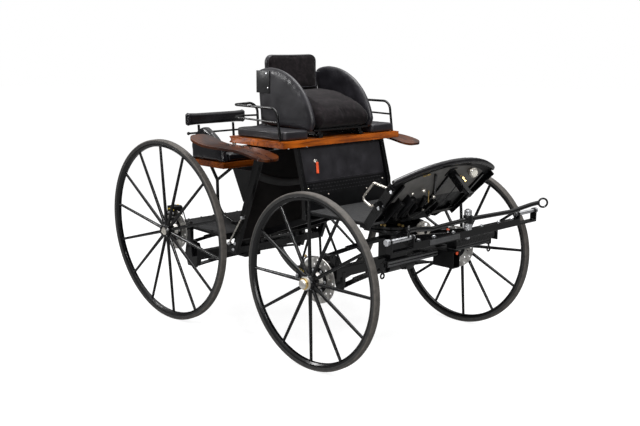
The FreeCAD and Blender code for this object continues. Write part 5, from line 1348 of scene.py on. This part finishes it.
def studio_world(sky, horizon, zenith):
    """White room to the camera and through glass, graded from its walls to its ceiling in gloss."""
    world = bpy.data.worlds.new("studio")
    world.use_nodes = True
    tree = world.node_tree
    background = tree.nodes["Background"].inputs
    path = add_node(tree, "ShaderNodeLightPath").outputs
    way = add_node(tree, "ShaderNodeTexCoord").outputs["Generated"]
    height = add_node(tree, "ShaderNodeSeparateXYZ", {0: way}).outputs["Z"]
    graded = add_node(tree, "ShaderNodeMapRange", {
        "Value": height, "From Min": 0.24, "From Max": 0.75,
        "To Min": horizon, "To Max": zenith}).outputs["Result"]
    in_gloss = add_node(tree, "ShaderNodeMix", {0: path["Is Glossy Ray"], 2: sky, 3: graded}).outputs[0]
    plain = add_node(tree, "ShaderNodeMath", {0: path["Is Camera Ray"], 1: path["Is Transmission Ray"]},
                     operation="MAXIMUM").outputs[0]
    feed(tree, background["Strength"],
         add_node(tree, "ShaderNodeMix", {0: plain, 2: in_gloss, 3: 1.0}).outputs[0])
    background["Color"].default_value = (1, 1, 1, 1)
    return world


# Lamp, place, width, height, share of the lamps' power, whether it shows in gloss.
LAMPS = (
    ("overhead", (0.4, 0.2, 4.2), 2.2, 2.2, 1.05, True),
    ("near_side", (3.4, -2.6, 3.6), 0.55, 0.55, 0.7, True),
    ("far_side", (-1.8, 4.0, 3.4), 1.6, 1.6, 0.5, False),
    ("near_rear", (-3.2, -3.0, 2.6), 0.7, 0.7, 0.5, True),
    ("low_front", (4.6, -2.4, 0.9), 0.5, 0.5, 0.12, True),
    ("strip", (1.6, -4.6, 1.5), 0.22, 2.8, 0.25, True),
)


class CARRIAGE_OT_stage(bpy.types.Operator):
    """Lay the floor, set the light and stand the camera"""

    bl_idname = "carriage.stage"
    bl_label = "Stage"

    def execute(self, context):
        studio = settings("carriage_studio")
        scene = context.scene
        clear_selection()
        bpy.ops.mesh.primitive_circle_add(vertices=64, radius=30, fill_type="NGON", location=(0, 0, 0))
        floor = settle(named("floor"))
        finish_with(floor, studio_material("pale_floor", (0.30, 0.30, 0.30), 0.83))
        scene.world = studio_world(studio.sky, 0.08, 1.3)

        target = Vector((0.1, 0, 0.8))
        for name, spot, width, height, share, shine in LAMPS:
            clear_selection()
            bpy.ops.object.light_add(type="AREA", location=spot)
            lamp = context.object
            lamp.name = name
            lamp.data.shape = "RECTANGLE"
            lamp.data.size, lamp.data.size_y = width, height
            lamp.data.energy = studio.lamp * share
            lamp.visible_glossy = shine
            lamp.rotation_mode = "QUATERNION"
            lamp.rotation_quaternion = (target - Vector(spot)).to_track_quat("-Z", "Y")

        camera_data = bpy.data.cameras.new("camera")
        camera_data.lens = studio.lens
        camera_data.sensor_width = 36
        camera = bpy.data.objects.new("camera", camera_data)
        scene.collection.objects.link(camera)
        turn, tilt, roll = studio.azimuth, studio.elevation, studio.roll
        back = Vector((math.sin(turn) * math.cos(tilt), -math.cos(turn) * math.cos(tilt), math.sin(tilt)))
        right = Vector((math.cos(turn), math.sin(turn), 0))
        above = back.cross(right)
        right, above = (right * math.cos(roll) + above * math.sin(roll),
                        above * math.cos(roll) - right * math.sin(roll))
        pose = Matrix((right, above, back)).transposed().to_4x4()
        pose.translation = Vector(studio.place)
        camera.matrix_world = pose
        scene.camera = camera
        scene.view_settings.view_transform = "Standard"
        return {"FINISHED"}


OPERATORS = (
    CARRIAGE_OT_finishes, CARRIAGE_OT_upholstery, CARRIAGE_OT_seat_fittings, CARRIAGE_OT_apron,
    CARRIAGE_OT_kick_fittings, CARRIAGE_OT_mats, CARRIAGE_OT_dash_fittings, CARRIAGE_OT_front_fittings,
    CARRIAGE_OT_wheel_fittings, CARRIAGE_OT_brake_fittings, CARRIAGE_OT_bolts, CARRIAGE_OT_stage,
)


class CARRIAGE_PT_panel(bpy.types.Panel):
    """The carriage's steps, in order"""

    bl_idname = "CARRIAGE_PT_panel"
    bl_label = "Carriage"
    bl_space_type = "VIEW_3D"
    bl_region_type = "UI"
    bl_category = "Carriage"

    def draw(self, context):
        for group in GROUPS:
            box = self.layout.box()
            for name in GROUPS[group].__annotations__:
                box.prop(getattr(context.scene, group), name)
        for operator in OPERATORS:
            self.layout.operator(operator.bl_idname)


GROUPS = {
    "carriage_colours": CarriageColours,
    "carriage_upholstery": CarriageUpholstery,
    "carriage_studio": CarriageStudio,
}


def register():
    for group, kind in GROUPS.items():
        bpy.utils.register_class(kind)
        setattr(bpy.types.Scene, group, PointerProperty(type=kind))
    for kind in (*OPERATORS, CARRIAGE_PT_panel):
        bpy.utils.register_class(kind)


def unregister():
    for kind in reversed((*OPERATORS, CARRIAGE_PT_panel)):
        bpy.utils.unregister_class(kind)
    for group, kind in reversed(list(GROUPS.items())):
        delattr(bpy.types.Scene, group)
        bpy.utils.unregister_class(kind)


def main():
    register()
    for operator in OPERATORS:
        area, name = operator.bl_idname.split(".")
        getattr(getattr(bpy.ops, area), name)()


if __name__ == "__main__":
    main()
